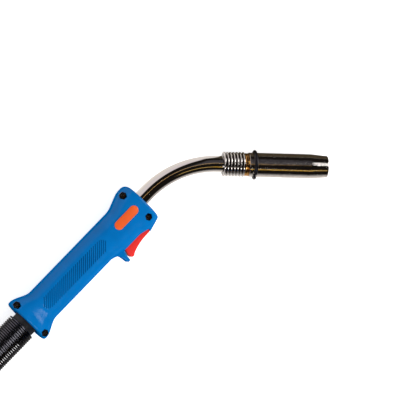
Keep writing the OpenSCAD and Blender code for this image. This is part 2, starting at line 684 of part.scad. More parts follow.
// ---- nozzle end ----
module cooling_head() color("#c9c5bb") in_row() on_nozzle() difference() {
    rotate_extrude() {
        square([neck_r, fin_start + e]);
        translate([0, fin_start]) square([fin_d / 2 - 3.4, fins_end - fin_start]);
        for (k = [0:fin_count - 1]) translate([0, fin_start + k * fin_pitch]) square([fin_d / 2, fin_t]);
    }
    translate([0, 0, -e]) cylinder(r = inner_tube_r - inner_tube_wall, h = fins_end);
    translate([0, 0, fins_end - 5]) cylinder(r = holder_r + fit, h = 5 + e);
}
module nozzle_seat_ring() color("#c79a3c") in_row() on_nozzle(fins_end)
    pipe(ring_d / 2, holder_r + fit, ring_t);
module nozzle_insulator() color("#3a3632") in_row() on_nozzle(nozzle_start)
    pipe(insulator_r, holder_r + fit, seat_overlap);
module tip_holder() color("#b9853a") in_row() on_nozzle(fins_end - 5)
    pipe(holder_r, liner_r + fit, holder_end - fins_end + 5);
module gas_diffuser() color("#e9e4d6") in_row() on_nozzle(insulator_end + near) difference() {
    pipe(nozzle_bore_d / 2 - 0.6, holder_r + fit, diffuser_t);
    for (a = [0:60:300]) rotate([0, 0, a]) translate([7.7, 0, -e]) cylinder(r = 0.8, h = diffuser_t + 2 * e);
}
module contact_tip() color("#c0703a") in_row() on_nozzle(tip_start) difference() {
    union() {
        cylinder(d = tip_d, h = tip_len - 8);
        translate([0, 0, tip_len - 8]) cylinder(d1 = tip_d, d2 = tip_d - 2, h = 8);
    }
    translate([0, 0, -e]) cylinder(d = tip_bore_d, h = tip_len + 2 * e);
}
module gas_nozzle() color("#3b332b") in_row() on_nozzle(nozzle_start) {
    straight = nozzle_len - taper_len;
    seat = clip_seat - nozzle_start * [1, 1];
    seat_r = nozzle_d / 2 - clip_seat_depth;
    rotate_extrude() polygon([
        [nozzle_bore_d / 2, 0], [nozzle_d / 2, 0], [nozzle_d / 2, seat[0]], [seat_r, seat[0]],
        [seat_r, seat[1]], [nozzle_d / 2, seat[1]], [nozzle_d / 2, straight],
        [mouth_d / 2, nozzle_len - nozzle_chamfer], [mouth_d / 2 - nozzle_chamfer, nozzle_len],
        [mouth_bore_d / 2, nozzle_len], [mouth_bore_d / 2, nozzle_len - 8],
        [nozzle_bore_d / 2, straight],
    ]);
}
clip_from = -108; // angle of the bent end about the nozzle's axis
clip_gap = 29;
module nozzle_clip_ring() color("#26241f") in_row() on_nozzle(clip_s) rotate([0, 0, clip_from]) {
    rotate_extrude(angle = 360 - clip_gap) translate([clip_r, 0]) circle(d = clip_wire_d, $fn = 24);
    translate([clip_r, 0, -clip_bend_r]) rotate([180, -90, 0])
        rotate_extrude(angle = clip_lean) translate([clip_bend_r, 0]) circle(d = clip_wire_d, $fn = 24);
}

// ---- cable outlet ----
module ball_joint() color("#1b1b1c") in_row() difference() {
    union() {
        along_x(ball_x) sphere(r = ball_r, $fn = 96);
        along_x(-collar_len) cylinder(r = collar_r, h = ball_x + collar_len);
        along_x(tail_end) cylinder(r = tail_r, h = tail_len);
    }
    along_x(tail_end - e) cylinder(r = cable_r + fit, h = ball_x + collar_len + tail_len + e);
    along_x(ball_x - e) cylinder(r1 = cable_r + 0.6, r2 = cable_r + 3.6, h = ball_r + 2 * e);
    along_x(ball_x + ball_r - 5) cylinder(r = 2 * ball_r, h = ball_r);
}
module cable_neck() color("#1a1a1b") in_row() along_x(tail_end)
    cylinder(r = cable_r, h = ball_x - tail_end - split_gap / 2);
module bend_spring() color("#1d1d1e") in_row()
    tube(bend_spring_points, radial(bend_spring_points), spring_wire_d / 2, hex_sides);
cable_sides = 10;
up_z = [0, 0, 1];
module cable_front() color("#1a1a1b") in_row()
    tube(front_route, [for (p = front_route) up_z], cable_r, cable_sides);
module cable_coil() color("#1a1a1b") in_row()
    tube(coil_points, [for (p = coil_points) up_z], cable_r, hex_sides);
module cable_rear() color("#1a1a1b") in_row()
    tube(rear_route, [for (p = rear_route) up_z], cable_r, cable_sides);

// ---- connector ----
grip_len = 40;
disc_t = 5;
disc_r = 16.5;
nut_x = housing_len - 10; // rear face of the locking nut
contact_y = 10;
contact_d = 4;
module rear_spring() color("#1d1d1e") in_row() translate([0, connector_y, connector_z])
    tube(rear_spring_points, radial(rear_spring_points), spring_wire_d / 2, hex_sides);
module connector_housing() color("#1f1f20") in_row() on_connector() difference() {
    union() {
        rotate_extrude() polygon([
            [0, 0], [15.5, 0], [17, 1.5], [17, 6], [18, 9], [18, grip_len],
            [20, grip_len + 6], [20, nut_x - near], [lock_bore_d / 2 - 1, nut_x - near],
            [lock_bore_d / 2 - 1, housing_len], [0, housing_len],
        ]);
        for (a = [0:30:330]) rotate([0, 0, a]) translate([17.6, 0, 14]) cylinder(r = 1.2, h = grip_len - 16);
    }
    translate([0, 0, -e]) cylinder(r = cable_r + fit, h = 12 + e);
    translate([0, 0, 12 - 2 * fit]) cylinder(r = 13 + fit, h = housing_len);
    translate([0, 17, nut_x - 8]) rotate([90, 0, 0]) cylinder(d = 3.2, h = 8, center = true);
    translate([0, 21.35, nut_x - 8]) rotate([90, 0, 0]) cylinder(d = 6, h = 5, center = true);
}
module housing_screw() color("#8c8c90") in_row() on_connector(nut_x - 8) {
    translate([0, 18.85, 0]) rotate([90, 0, 0]) cylinder(d = 3, h = 5.65);
    translate([0, 19.9, 0]) rotate([90, 0, 0]) difference() {
        cylinder(d = 5.4, h = 1.05);
        translate([0, 0, -e]) hexagon(2.5, 0.6 + e);
    }
}
module connector_block() color("#c8a24a") in_row() on_connector(12) difference() {
    cylinder(r = 13, h = housing_len - 12);
    translate([0, 0, housing_len - 12 - pin_root]) cylinder(d = pin_root_d + 2 * fit, h = pin_root + e);
    translate([0, 0, -e]) cylinder(r = 2.5, h = housing_len);
    for (s = [-1, 1]) translate([0, s * contact_y, housing_len - 24]) cylinder(d = contact_d + 2 * near, h = 12 + e);
    translate([0, 14.5, nut_x - 20]) rotate([90, 0, 0]) cylinder(d = 3 + 2 * fit, h = 6, center = true);
}
module insulating_disc() color("#262628") in_row() on_connector(housing_len) difference() {
    cylinder(r = disc_r, h = disc_t);
    translate([0, 0, -e]) cylinder(d = pin_root_d + 2 * fit, h = disc_t + 2 * e);
    for (s = [-1, 1]) translate([0, s * contact_y, -e]) cylinder(d = contact_d + 2 * fit, h = disc_t + 2 * e);
}
pin_root = 12;
pin_root_d = centre_pin_d - 1;
module centre_pin() color("#c8a24a") in_row() on_connector(housing_len - pin_root) difference() {
    union() {
        cylinder(d = pin_root_d, h = pin_root + disc_t);
        translate([0, 0, pin_root + disc_t]) {
            cylinder(d = centre_pin_d, h = centre_pin_len - 2);
            translate([0, 0, centre_pin_len - 2]) cylinder(d1 = centre_pin_d, d2 = centre_pin_d - 2.4, h = 2);
        }
    }
    translate([0, 0, -e]) cylinder(r = 2.5, h = pin_root + disc_t + centre_pin_len + 2 * e);
}
contact_out = 8;
contact_travel = 4;
module contact_pin(side) on_connector(housing_len - 5) translate([0, side * contact_y, 0]) {
    cylinder(d = contact_d, h = 5 + disc_t + contact_out - 1);
    translate([0, 0, 4 + disc_t + contact_out]) cylinder(d1 = contact_d, d2 = contact_d - 1.6, h = 1);
}
module contact_pin_left() color("#d9c070") in_row() contact_pin(1);
module contact_pin_right() color("#d9c070") in_row() contact_pin(-1);
rib_count = 16;
module locking_nut() color("#1b1b1c") in_row() on_connector(nut_x) difference() {
    union() {
        cylinder(d = lock_nut_d - 4, h = lock_nut_len);
        for (k = [0:rib_count - 1]) rotate([0, 0, 360 * k / rib_count])
            translate([lock_nut_d / 2 - 3, 0, 2]) cylinder(r = 3, h = lock_nut_len - 4);
    }
    translate([0, 0, -e]) cylinder(d = lock_bore_d - 2 + 2 * fit, h = lock_nut_len + 2 * e);
    translate([0, 0, housing_len - nut_x + disc_t + 2]) cylinder(d = lock_bore_d, h = lock_nut_len);
}

handle_shell_upper();
handle_shell_lower();
handle_screws();
handle_nuts();
badge();
trigger();
trigger_pin();
microswitch_body();
switch_plunger();
switch_terminals();
switch_leads();
neck_outer_tube();
neck_insulation();
neck_inner_tube();
wire_liner();
neck_nut();
cable_terminal();
crimp_sleeve();
cable_stub();
cooling_head();
nozzle_seat_ring();
nozzle_insulator();
tip_holder();
gas_diffuser();
contact_tip();
gas_nozzle();
nozzle_clip_ring();
ball_joint();
cable_neck();
bend_spring();
cable_front();
cable_coil();
cable_rear();
rear_spring();
connector_housing();
housing_screw();
connector_block();
insulating_disc();
centre_pin();
contact_pin_left();
contact_pin_right();
locking_nut();
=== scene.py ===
# Dresses the MIG welding torch: smooth handle shells, turned and bent metal, wound springs, the cable,
# the finishes and the studio. Metres. +X runs along the handle to the neck, +Y points away from the
# trigger, +Z is up. Outlines in millimetres are drawn in the handle's own frame, whose X axis is the
# handle's axis and whose origin is on its rear face.
import math

import bpy
from mathutils import Matrix, Vector


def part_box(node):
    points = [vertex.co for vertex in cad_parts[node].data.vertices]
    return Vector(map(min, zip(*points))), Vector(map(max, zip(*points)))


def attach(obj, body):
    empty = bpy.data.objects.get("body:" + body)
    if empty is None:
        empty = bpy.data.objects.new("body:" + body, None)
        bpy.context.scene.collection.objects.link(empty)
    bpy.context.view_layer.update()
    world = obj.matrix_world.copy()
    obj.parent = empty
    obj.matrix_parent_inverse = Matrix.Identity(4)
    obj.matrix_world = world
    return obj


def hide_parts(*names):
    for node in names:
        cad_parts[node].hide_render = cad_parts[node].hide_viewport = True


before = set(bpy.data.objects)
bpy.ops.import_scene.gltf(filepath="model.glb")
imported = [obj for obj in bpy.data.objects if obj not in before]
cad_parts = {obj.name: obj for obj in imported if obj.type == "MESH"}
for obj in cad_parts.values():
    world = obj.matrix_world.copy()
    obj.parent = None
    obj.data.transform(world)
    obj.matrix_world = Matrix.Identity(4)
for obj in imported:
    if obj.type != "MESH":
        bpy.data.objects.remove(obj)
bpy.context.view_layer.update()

bl_info = {
    "name": "MIG welding torch",
    "version": (1, 0, 0),
    "blender": (4, 5, 0),
    "location": "View3D > Sidebar > Torch",
    "description": "Models the visible pieces of a gas-cooled welding torch over its packed frame",
    "category": "Add Mesh",
}

MM = 0.001


def linear(code):
    """An sRGB hex colour as linear red, green, blue."""
    parts = [int(code[i : i + 2], 16) / 255 for i in (1, 3, 5)]
    return [c / 12.92 if c <= 0.04045 else ((c + 0.055) / 1.055) ** 2.4 for c in parts]

# ---- where the frame puts things ----
FLANGE_W, FLANGE_T = 26.0, 20.0
UPPER_LOW, UPPER_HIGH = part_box("handle_shell_upper")
HANDLE = Vector((UPPER_LOW.x, UPPER_HIGH.y - FLANGE_W * MM, UPPER_LOW.z))
FLOOR_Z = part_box("handle_shell_lower")[0].z


def at(x, y, z=0.0):
    """A point of the handle's own frame, given in millimetres, as a place in the model."""
    return HANDLE + Vector((x, y, z)) * MM


NECK_Y, NECK_RADIUS, NECK_REAR = 3, 8.3, 132.5
BEND_X, BEND_RADIUS = 182, 100
BEND_ANGLE = math.radians(47)
BEND_START = at(BEND_X, NECK_Y)
BEND_END = at(BEND_X + BEND_RADIUS * math.sin(BEND_ANGLE), NECK_Y - BEND_RADIUS * (1 - math.cos(BEND_ANGLE)))
NECK_AXIS = Vector((math.cos(BEND_ANGLE), -math.sin(BEND_ANGLE), 0))
NOZZLE_PLACE = (
    Matrix.Translation(BEND_END)
    @ Matrix.Rotation(-BEND_ANGLE, 4, "Z")
    @ Matrix.Rotation(math.pi / 2, 4, "Y")
)
SCREW_SITES = [(4.5, 20.3), (4.5, -20.3), (161.0, 20.3), (164.0, -13.7)]


# ---- properties ----
def length(name, description, default):
    return bpy.props.FloatProperty(
        name=name, description=description, default=default, min=0.0, precision=4,
        subtype="DISTANCE", unit="LENGTH",
    )


def colour(name, description, code):
    return bpy.props.FloatVectorProperty(
        name=name, description=description, default=linear(code), min=0.0, max=1.0, size=3,
        subtype="COLOR",
    )


class TorchSizes(bpy.types.PropertyGroup):
    grain: length("Mould grain", "Size of the spark-eroded grain on the handle", 0.45 * MM)
    fin_edge: length("Fin edge", "Radius of the rounded edge of each cooling fin", 0.8 * MM)
    coil_wire: length("Spring wire", "Diameter of the bend spring's wire", 1.9 * MM)
    cable: length("Cable", "Outer diameter of the coaxial cable", 18 * MM)


class TorchColours(bpy.types.PropertyGroup):
    shell: colour("Handle", "Moulded handle shells", "#0072be")
    trigger: colour("Trigger", "Moulded trigger", "#ff3a35")
    badge: colour("Badge", "Plain badge on the handle", "#f5601e")
    nylon: colour("Black nylon", "Cable outlet and connector", "#1c1c1e")
    chrome: colour("Chrome", "Neck and cooling head", "#d8d3cf")
    nozzle: colour("Nozzle", "Chromed gas nozzle", "#dbd5d0")
    brass: colour("Brass", "Seat ring, pins and terminals", "#d2a05e")
    copper: colour("Copper", "Inner tube and contact tip", "#b8693c")
    jacket: colour("Cable jacket", "Smooth cable jacket", "#18181a")
    floor: colour("Floor", "Studio floor", "#f4f4f4")


# ---- modelling ----
MERGE = 0.002 * MM


def begin():
    """Object mode with nothing selected."""
    if bpy.context.object and bpy.context.object.mode != "OBJECT":
        bpy.ops.object.mode_set(mode="OBJECT")
    bpy.ops.object.select_all(action="DESELECT")


def only(piece):
    """Selects one piece and makes it active."""
    begin()
    piece.select_set(True)
    bpy.context.view_layer.objects.active = piece


def edit(piece):
    """Edit mode on one piece, with all of it selected."""
    only(piece)
    bpy.ops.object.mode_set(mode="EDIT")
    bpy.ops.mesh.select_all(action="SELECT")


def pick(piece, test):
    """Selects, in edit mode, the vertices whose place passes the test."""
    bpy.ops.object.mode_set(mode="EDIT")
    bpy.ops.mesh.select_mode(type="VERT")
    bpy.ops.mesh.select_all(action="DESELECT")
    bpy.ops.object.mode_set(mode="OBJECT")
    for v in piece.data.vertices:
        v.select = test(v.co)
    bpy.ops.object.mode_set(mode="EDIT")


def ring(name, points):
    """A ring primitive laid on the points, in edit mode and selected."""
    begin()
    bpy.ops.mesh.primitive_circle_add(vertices=len(points), radius=1 * MM)
    piece = bpy.context.object
    piece.name = name
    for v, p in zip(piece.data.vertices, points):
        v.co = p
    bpy.ops.object.mode_set(mode="EDIT")
    bpy.ops.mesh.select_all(action="SELECT")
    return piece


def outward():
    """Merges doubles and turns the faces outwards, from edit mode back to object mode."""
    bpy.ops.mesh.select_all(action="SELECT")
    bpy.ops.mesh.remove_doubles(threshold=MERGE)
    bpy.ops.mesh.normals_make_consistent(inside=False)
    bpy.ops.object.mode_set(mode="OBJECT")


def around(count):
    """The angles of a full turn in equal steps."""
    return [2 * math.pi * k / count for k in range(count)]


def block(name, points, step):
    """The outline through the points, filled and extruded by a step."""
    piece = ring(name, points)
    bpy.ops.mesh.edge_face_add()
    bpy.ops.mesh.extrude_region_move(TRANSFORM_OT_translate={"value": step})
    outward()
    return piece


def slab(name, outline, low, high):
    """A flat outline of the handle's frame, filled and extruded from low to high."""
    return block(name, [at(x, y, low) for x, y in outline], (0, 0, (high - low) * MM))


def shift_picked(piece, matrix):
    """Moves the selected vertices by a matrix: edit mode is left for it and entered again."""
    bpy.ops.object.mode_set(mode="OBJECT")
    for v in piece.data.vertices:
        if v.select:
            v.co = matrix @ v.co
    bpy.ops.object.mode_set(mode="EDIT")


def turned(name, outline, sides=96):
    """Turned about Z: a ring is extruded and resized along the outline's steps, back to its start.

    The outline is a list of (height, radius) in millimetres.
    """
    z, r = outline[0]
    begin()
    bpy.ops.mesh.primitive_circle_add(vertices=sides, radius=r * MM)
    piece = bpy.context.object
    piece.name = name
    bpy.ops.object.mode_set(mode="EDIT")
    bpy.ops.mesh.select_all(action="SELECT")
    bpy.ops.transform.translate(value=(0, 0, z * MM))
    for z1, r1 in [*outline[1:], outline[0]]:
        bpy.ops.mesh.extrude_region_move(TRANSFORM_OT_translate={"value": (0, 0, (z1 - z) * MM)})
        bpy.ops.transform.resize(value=(r1 / r, r1 / r, 1), center_override=(0, 0, z1 * MM))
        z, r = z1, r1
    outward()
    return piece


def corner(z, r, size, start, end, steps=4):
    """Points of a rounded corner about (z, r), from one angle to the other in degrees."""
    return [
        (z + size * math.cos(math.radians(start + (end - start) * k / steps)),
         r + size * math.sin(math.radians(start + (end - start) * k / steps)))
        for k in range(steps + 1)
    ]


def place(piece, matrix):
    """Puts a piece that was made at the origin in its place, and leaves its object at the origin."""
    only(piece)
    piece.matrix_world = matrix
    bpy.ops.object.transform_apply(location=True, rotation=True, scale=True)
    return piece


def join(pieces, name):
    """Joins the pieces into one."""
    only(pieces[0])
    for p in pieces[1:]:
        p.select_set(True)
    bpy.ops.object.join()
    bpy.context.object.name = name
    return bpy.context.object


def use(piece, kind, **settings):
    """Adds a modifier, sets it and applies it."""
    only(piece)
    m = piece.modifiers.new(kind.lower(), kind)
    for key, value in settings.items():
        setattr(m, key, value)
    bpy.ops.object.modifier_apply(modifier=m.name)


def combine(piece, tool, operation):
    """Cuts, unites or crosses a piece with a tool, which is used up."""
    use(piece, "BOOLEAN", object=tool, operation=operation, solver="EXACT")
    bpy.data.objects.remove(tool, do_unlink=True)


def soften(piece, width, angle=35, segments=2, smooth=40):
    """Breaks the sharp edges and shades the rest smooth."""
    if width:
        use(piece, "BEVEL", width=width, limit_method="ANGLE", angle_limit=math.radians(angle),
            segments=segments, use_clamp_overlap=True)
    only(piece)
    bpy.ops.object.shade_smooth_by_angle(angle=math.radians(smooth))
    return piece


def copy_of(node, name):
    """A merged copy of a CAD node, in place of it."""
    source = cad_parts[node]
    piece = bpy.data.objects.new(name, source.data.copy())
    bpy.context.scene.collection.objects.link(piece)
    piece.data.materials.clear()
    edit(piece)
    bpy.ops.mesh.remove_doubles(threshold=MERGE)
    bpy.ops.mesh.dissolve_limited(angle_limit=math.radians(0.5))
    bpy.ops.object.mode_set(mode="OBJECT")
    return piece


def hand_over(piece, material, body, *nodes, slot=None):
    """Gives a piece its finish and its body, and hides the CAD nodes it stands for."""
    piece.data.materials.clear()
    piece.data.materials.append(material)
    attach(piece, body)
    if nodes:
        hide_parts(*nodes)
    return piece


def dress(material, *nodes):
    """A finish for CAD nodes that stay."""
    for name in nodes:
        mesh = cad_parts[name].data
        mesh.materials.clear()
        mesh.materials.append(material)


# ---- finishes ----
def add(tree, kind, sockets=(), **settings):
    """Adds a shader node: settings are its properties, and sockets take values or other nodes' outputs."""
    n = tree.nodes.new(kind)
    for key, value in settings.items():
        setattr(n, key, value)
    for key, value in dict(sockets).items():
        if isinstance(value, bpy.types.NodeSocket):
            tree.links.new(value, n.inputs[key])
        else:
            n.inputs[key].default_value = value
    return n


def finish(name, rgb, roughness, metallic=0.0, ior=1.5, **sockets):
    """A new material with its Principled shader.

    It returns the material, its tree, its shader and the object's coordinates.
    """
    material = bpy.data.materials.new(name)
    material.use_nodes = True
    tree = material.node_tree
    shader = tree.nodes["Principled BSDF"]
    shader.inputs["Base Color"].default_value = (*rgb, 1)
    shader.inputs["Roughness"].default_value = roughness
    shader.inputs["Metallic"].default_value = metallic
    if not metallic:
        shader.inputs["IOR"].default_value = ior
    for key, value in sockets.items():
        shader.inputs[key.replace("_", " ")].default_value = value
    where = add(tree, "ShaderNodeTexCoord").outputs["Object"]
    return material, tree, shader, where


def grain(tree, shader, where, size, height, detail=3.0, stretch=None):
    """Raised grain of a real size, as bump."""
    if stretch:
        where = add(tree, "ShaderNodeMapping", {"Vector": where, "Scale": stretch}).outputs["Vector"]
    noise = add(tree, "ShaderNodeTexNoise", {"Vector": where, "Scale": 1 / size, "Detail": detail})
    bump = add(tree, "ShaderNodeBump", {"Height": noise.outputs["Fac"], "Distance": height, "Strength": 1.0})
    tree.links.new(bump.outputs["Normal"], shader.inputs["Normal"])
    return noise.outputs["Fac"]


def blotch(tree, shader, where, rgb, size, low, high, socket="Base Color", detail=4.0):
    """Slow variation of the colour between low and high times rgb."""
    noise = add(tree, "ShaderNodeTexNoise", {"Vector": where, "Scale": 1 / size, "Detail": detail})
    ramp = add(tree, "ShaderNodeValToRGB", {"Fac": noise.outputs["Fac"]})
    ramp.color_ramp.elements[0].position = 0.35
    ramp.color_ramp.elements[1].position = 0.65
    ramp.color_ramp.elements[0].color = (*[c * low for c in rgb], 1)
    ramp.color_ramp.elements[1].color = (*[min(1, c * high) for c in rgb], 1)
    tree.links.new(ramp.outputs["Color"], shader.inputs[socket])


def rough_band(tree, shader, where, size, low, high, stretch=None):
    """Roughness that varies between low and high."""
    if stretch:
        where = add(tree, "ShaderNodeMapping", {"Vector": where, "Scale": stretch}).outputs["Vector"]
    noise = add(tree, "ShaderNodeTexNoise", {"Vector": where, "Scale": 1 / size, "Detail": 3.0})
    span = add(tree, "ShaderNodeMapRange", {"Value": noise.outputs["Fac"], "From Min": 0.3, "From Max": 0.7,
                                            "To Min": low, "To Max": high})
    tree.links.new(span.outputs["Result"], shader.inputs["Roughness"])


def between(tree, value, low, high):
    """1 where the value lies between low and high, else 0."""
    above = add(tree, "ShaderNodeMath", {0: value, 1: low}, operation="GREATER_THAN").outputs["Value"]
    below = add(tree, "ShaderNodeMath", {0: value, 1: high}, operation="LESS_THAN").outputs["Value"]
    return add(tree, "ShaderNodeMath", {0: above, 1: below}, operation="MULTIPLY").outputs["Value"]


def shade(tree, shader, mask, rgb):
    """Lays rgb over the base colour where the mask is 1, as painted shade."""
    base = shader.inputs["Base Color"]
    under = base.links[0].from_socket if base.is_linked else tuple(base.default_value)
    mixed = add(tree, "ShaderNodeMix", {"Factor": mask, "A": under, "B": (*rgb, 1)}, data_type="RGBA")
    tree.links.new(mixed.outputs["Result"], base)


def make_finishes(colours, sizes):
    """Every finish of the torch, by name."""
    made = {}

    # moulded ABS: satin, a fine spark-eroded grain and a slightly uneven tint
    m, t, s, w = finish("abs_blue_moulded", colours.shell, 0.15, Specular_IOR_Level=0.2)
    grain(t, s, w, sizes.grain, 0.0015 * MM)
    blotch(t, s, w, colours.shell, 14 * MM, 0.94, 1.04)
    rough_band(t, s, w, 5 * MM, 0.12, 0.18)
    # less gloss where the surface turns away from the eye
    facing = add(t, "ShaderNodeLayerWeight", {"Blend": 0.5}).outputs["Facing"]
    sheen = add(t, "ShaderNodeMapRange", {"Value": facing, "From Min": 0.25, "From Max": 0.6,
                                          "To Min": 0.18, "To Max": 0.0})
    t.links.new(sheen.outputs["Result"], s.inputs["Specular IOR Level"])
    # painted shade at the bottom of the grooves: the base colour is darkened there
    spot = add(t, "ShaderNodeVectorMath", {0: w, 1: tuple(HANDLE)}, operation="SUBTRACT").outputs["Vector"]
    part = add(t, "ShaderNodeSeparateXYZ", {"Vector": spot}).outputs
    mask = between(t, part["Z"], 15 * MM, 16.4 * MM)
    for side, low, high in (("X", 22 * MM, 118 * MM), ("Y", -6.6 * MM, 6.6 * MM)):
        mask = add(t, "ShaderNodeMath", {0: mask, 1: between(t, part[side], low, high)},
                   operation="MULTIPLY").outputs["Value"]
    shade(t, s, mask, [c * 0.3 for c in colours.shell])
    made["shell"] = m

    # moulded ABS in red: the handle's satin, with a faint flow variation
    m, t, s, w = finish("abs_red_moulded", colours.trigger, 0.2, Specular_IOR_Level=0.25)
    grain(t, s, w, 0.6 * MM, 0.006 * MM)
    blotch(t, s, w, colours.trigger, 9 * MM, 0.93, 1.03)
    made["trigger"] = m

    # extruded PVC on the switch's leads: plain, with a faint grain stretched along X
    m, t, s, w = finish("pvc_grey_extruded", linear("#cfcfd2"), 0.4)
    grain(t, s, w, 0.4 * MM, 0.006 * MM, stretch=(0.1, 1, 1))
    made["lead"] = m

    # Each row: key, material, colour, roughness and metallic; then, in millimetres, the size and height of
    # the grain, the size of the blotches with their darkest and palest share of the colour, and the size of
    # the patches in the roughness with its lowest and highest value.
    cream, brown = linear("#e8e2d4"), linear("#3a2f28")
    black_oxide, wire_grey, zinc = linear("#2c2b30"), linear("#5c5b61"), linear("#c9c3b2")
    rows = (
        # polycarbonate inlay: even colour, low gloss
        ("badge", "polycarbonate_badge", colours.badge, 0.38, 0, (0.35, 0.004), (6, 0.96, 1.03), None),
        # glass-filled nylon: dull black with a coarse skin and paler, rubbed spots
        ("nylon", "nylon_black_glass_filled", colours.nylon, 0.48, 0, (0.5, 0.02), (4, 0.75, 1.5),
         (2.5, 0.4, 0.58)),
        # ceramic, and natural nylon on the switch's plunger: cream and matt, with a faint mottling
        ("ceramic", "ceramic_cream", cream, 0.45, 0, (0.3, 0.006), (2, 0.9, 1.0), None),
        # pressed phenolic insulation: brown, matt and mottled
        ("phenolic", "phenolic_brown_pressed", brown, 0.6, 0, (0.3, 0.015), (1.5, 0.7, 1.3), None),
        # black oxide on steel: dark metal with a soft sheen and brighter, rubbed patches
        ("oxide", "steel_black_oxide", black_oxide, 0.34, 1, (0.25, 0.006), (0.8, 0.5, 1.5), None),
        # drawn spring wire, blackened and oiled: dark metal, glossy enough to mirror the lamps
        ("spring", "spring_steel_oiled", wire_grey, 0.2, 1, (0.35, 0.002), (2.2, 0.8, 1.1),
         (1.5, 0.18, 0.24)),
        # zinc-plated steel: bright, faintly yellow, with small patches
        ("zinc", "steel_zinc_plated", zinc, 0.3, 1, (0.2, 0.004), (0.7, 0.7, 1.1), None),
        # turned brass: satin and fine-grained, with a slight tarnish
        ("brass", "brass_turned", colours.brass, 0.14, 1, (0.35, 0.006), (2.5, 0.75, 1.05), None),
        # drawn copper: satin, with darker patches
        ("copper", "copper_drawn", colours.copper, 0.3, 1, (0.4, 0.006), (3, 0.7, 1.1), None),
        # extruded PVC blend on the cable: black, with a coarse skin and faint scuffs
        ("jacket", "pvc_black_jacket", colours.jacket, 0.42, 0, (0.9, 0.02), (11, 0.7, 1.5), (7, 0.34, 0.52)),
    )
    for key, name, rgb, roughness, metallic, skin, tint, polish in rows:
        m, t, s, w = finish(name, rgb, roughness, metallic=metallic)
        grain(t, s, w, skin[0] * MM, skin[1] * MM)
        blotch(t, s, w, rgb, tint[0] * MM, tint[1], tint[2])
        if polish:
            rough_band(t, s, w, polish[0] * MM, polish[1], polish[2])
        made[key] = m

    # chrome plate on drawn tube: mirror bright, faint waviness from the bending
    m, t, s, w = finish("chrome_plate_tube", colours.chrome, 0.05, metallic=1.0)
    grain(t, s, w, 9 * MM, 0.02 * MM, detail=1.0)
    rough_band(t, s, w, 6 * MM, 0.035, 0.075)
    made["chrome"] = m

    # chrome plate on a turned head: bright, over a slightly uneven surface
    m, t, s, w = finish("chrome_plate_turned", colours.chrome, 0.1, metallic=1.0)
    grain(t, s, w, 1.2 * MM, 0.012 * MM, detail=2.0)
    rough_band(t, s, w, 1.5 * MM, 0.06, 0.16)
    # painted shade in the gaps between the fins, darkest deep in the gaps
    spot = add(t, "ShaderNodeVectorMath", {0: w, 1: tuple(BEND_END)}, operation="SUBTRACT").outputs["Vector"]
    ahead, across = (
        add(t, "ShaderNodeVectorMath", {0: spot, 1: tuple(NECK_AXIS)}, operation=product).outputs[result]
        for product, result in (("DOT_PRODUCT", "Value"), ("CROSS_PRODUCT", "Vector"))
    )
    radius = add(t, "ShaderNodeVectorMath", {0: across}, operation="LENGTH").outputs["Value"]
    deep = add(t, "ShaderNodeMapRange", {"Value": radius, "From Min": 10.8 * MM, "From Max": 12.3 * MM,
                                         "To Min": 1.0, "To Max": 0.0}).outputs["Result"]
    mask = add(t, "ShaderNodeMath", {0: deep, 1: between(t, ahead, 5.0 * MM, 28 * MM)},
               operation="MULTIPLY").outputs["Value"]
    shade(t, s, mask, linear("#4a4540"))
    made["chrome_turned"] = m

    # dark chrome over pressed copper tube: mirror bright, with a fine orange-peel that breaks up reflections
    m, t, s, w = finish("chrome_plate_dark", colours.nozzle, 0.09, metallic=1.0)
    fine = add(t, "ShaderNodeTexNoise", {"Vector": w, "Scale": 1 / (1.1 * MM), "Detail": 3.0,
                                         "Roughness": 0.6})
    slow = add(t, "ShaderNodeTexNoise", {"Vector": w, "Scale": 1 / (7 * MM), "Detail": 1.0})
    peel = add(t, "ShaderNodeBump", {"Height": fine.outputs["Fac"], "Distance": 0.055 * MM})
    wave = add(t, "ShaderNodeBump", {"Height": slow.outputs["Fac"], "Distance": 0.04 * MM,
                                     "Normal": peel.outputs["Normal"]})
    t.links.new(wave.outputs["Normal"], s.inputs["Normal"])
    blotch(t, s, w, colours.nozzle, 5 * MM, 0.85, 1.05)
    made["nozzle"] = m
    return made


FINISHES = {}


# ---- handle outline, in millimetres ----
GRIP_W, GRIP_T = 18.3, 17.0
HEAD_W, HEAD_T = 25.6, 19.0
HANDLE_LEN = 172.5
SQUARENESS = 2.6
WALL = 2.5
# roundings of both end faces, and of the front face on the back of the handle
RIM, BROW = 2.2, 6.0
# how far the lip in front of the trigger stands out, what it loses towards the front, and where it is highest
LIP, LIP_FALL, LIP_X = 5.4, 4.4, HANDLE_LEN - 16.1
EDGE_Y = 21.5
TRIGGER_LEN, TRIGGER_GAP = 33.8, 0.3
TRIGGER_REAR = LIP_X - TRIGGER_GAP - TRIGGER_LEN
# where each change of the section begins along the handle, and its length
FLARE_X, FLARE_LEN = 25.5, 22.5
BACK_X, BACK_LEN = 137, 27
BELLY_X, BELLY_LEN = 108, 16
CHEEK_X, CHEEK_LEN = 100, 32
# stations along the handle, close together where the rear and the front rim turn fast
RIM_STATIONS = (0.12, 0.4, 0.8, 1.3, 1.8, 2.2, 3)
FRONT_STATIONS = (166.5, 168, 169.3, 170.3, 171, 171.6, 172.05, 172.35, 172.5)
SIDES = 72


def smooth(t):
    """An even rise from 0 to 1."""
    u = min(1.0, max(0.0, t))
    return u * u * (3 - 2 * u)


def rounding(d, r):
    """What a rounded edge of radius r takes off at distance d from it."""
    return 0.0 if d >= r else r - math.sqrt(max(0.0, r * r - (r - d) ** 2))


def lip(x):
    """How far the lip in front of the trigger stands out at x."""
    if x < LIP_X:
        return LIP * smooth((x - LIP_X + 10) / 10)
    return LIP - LIP_FALL * (x - LIP_X) / (HANDLE_LEN - LIP_X)


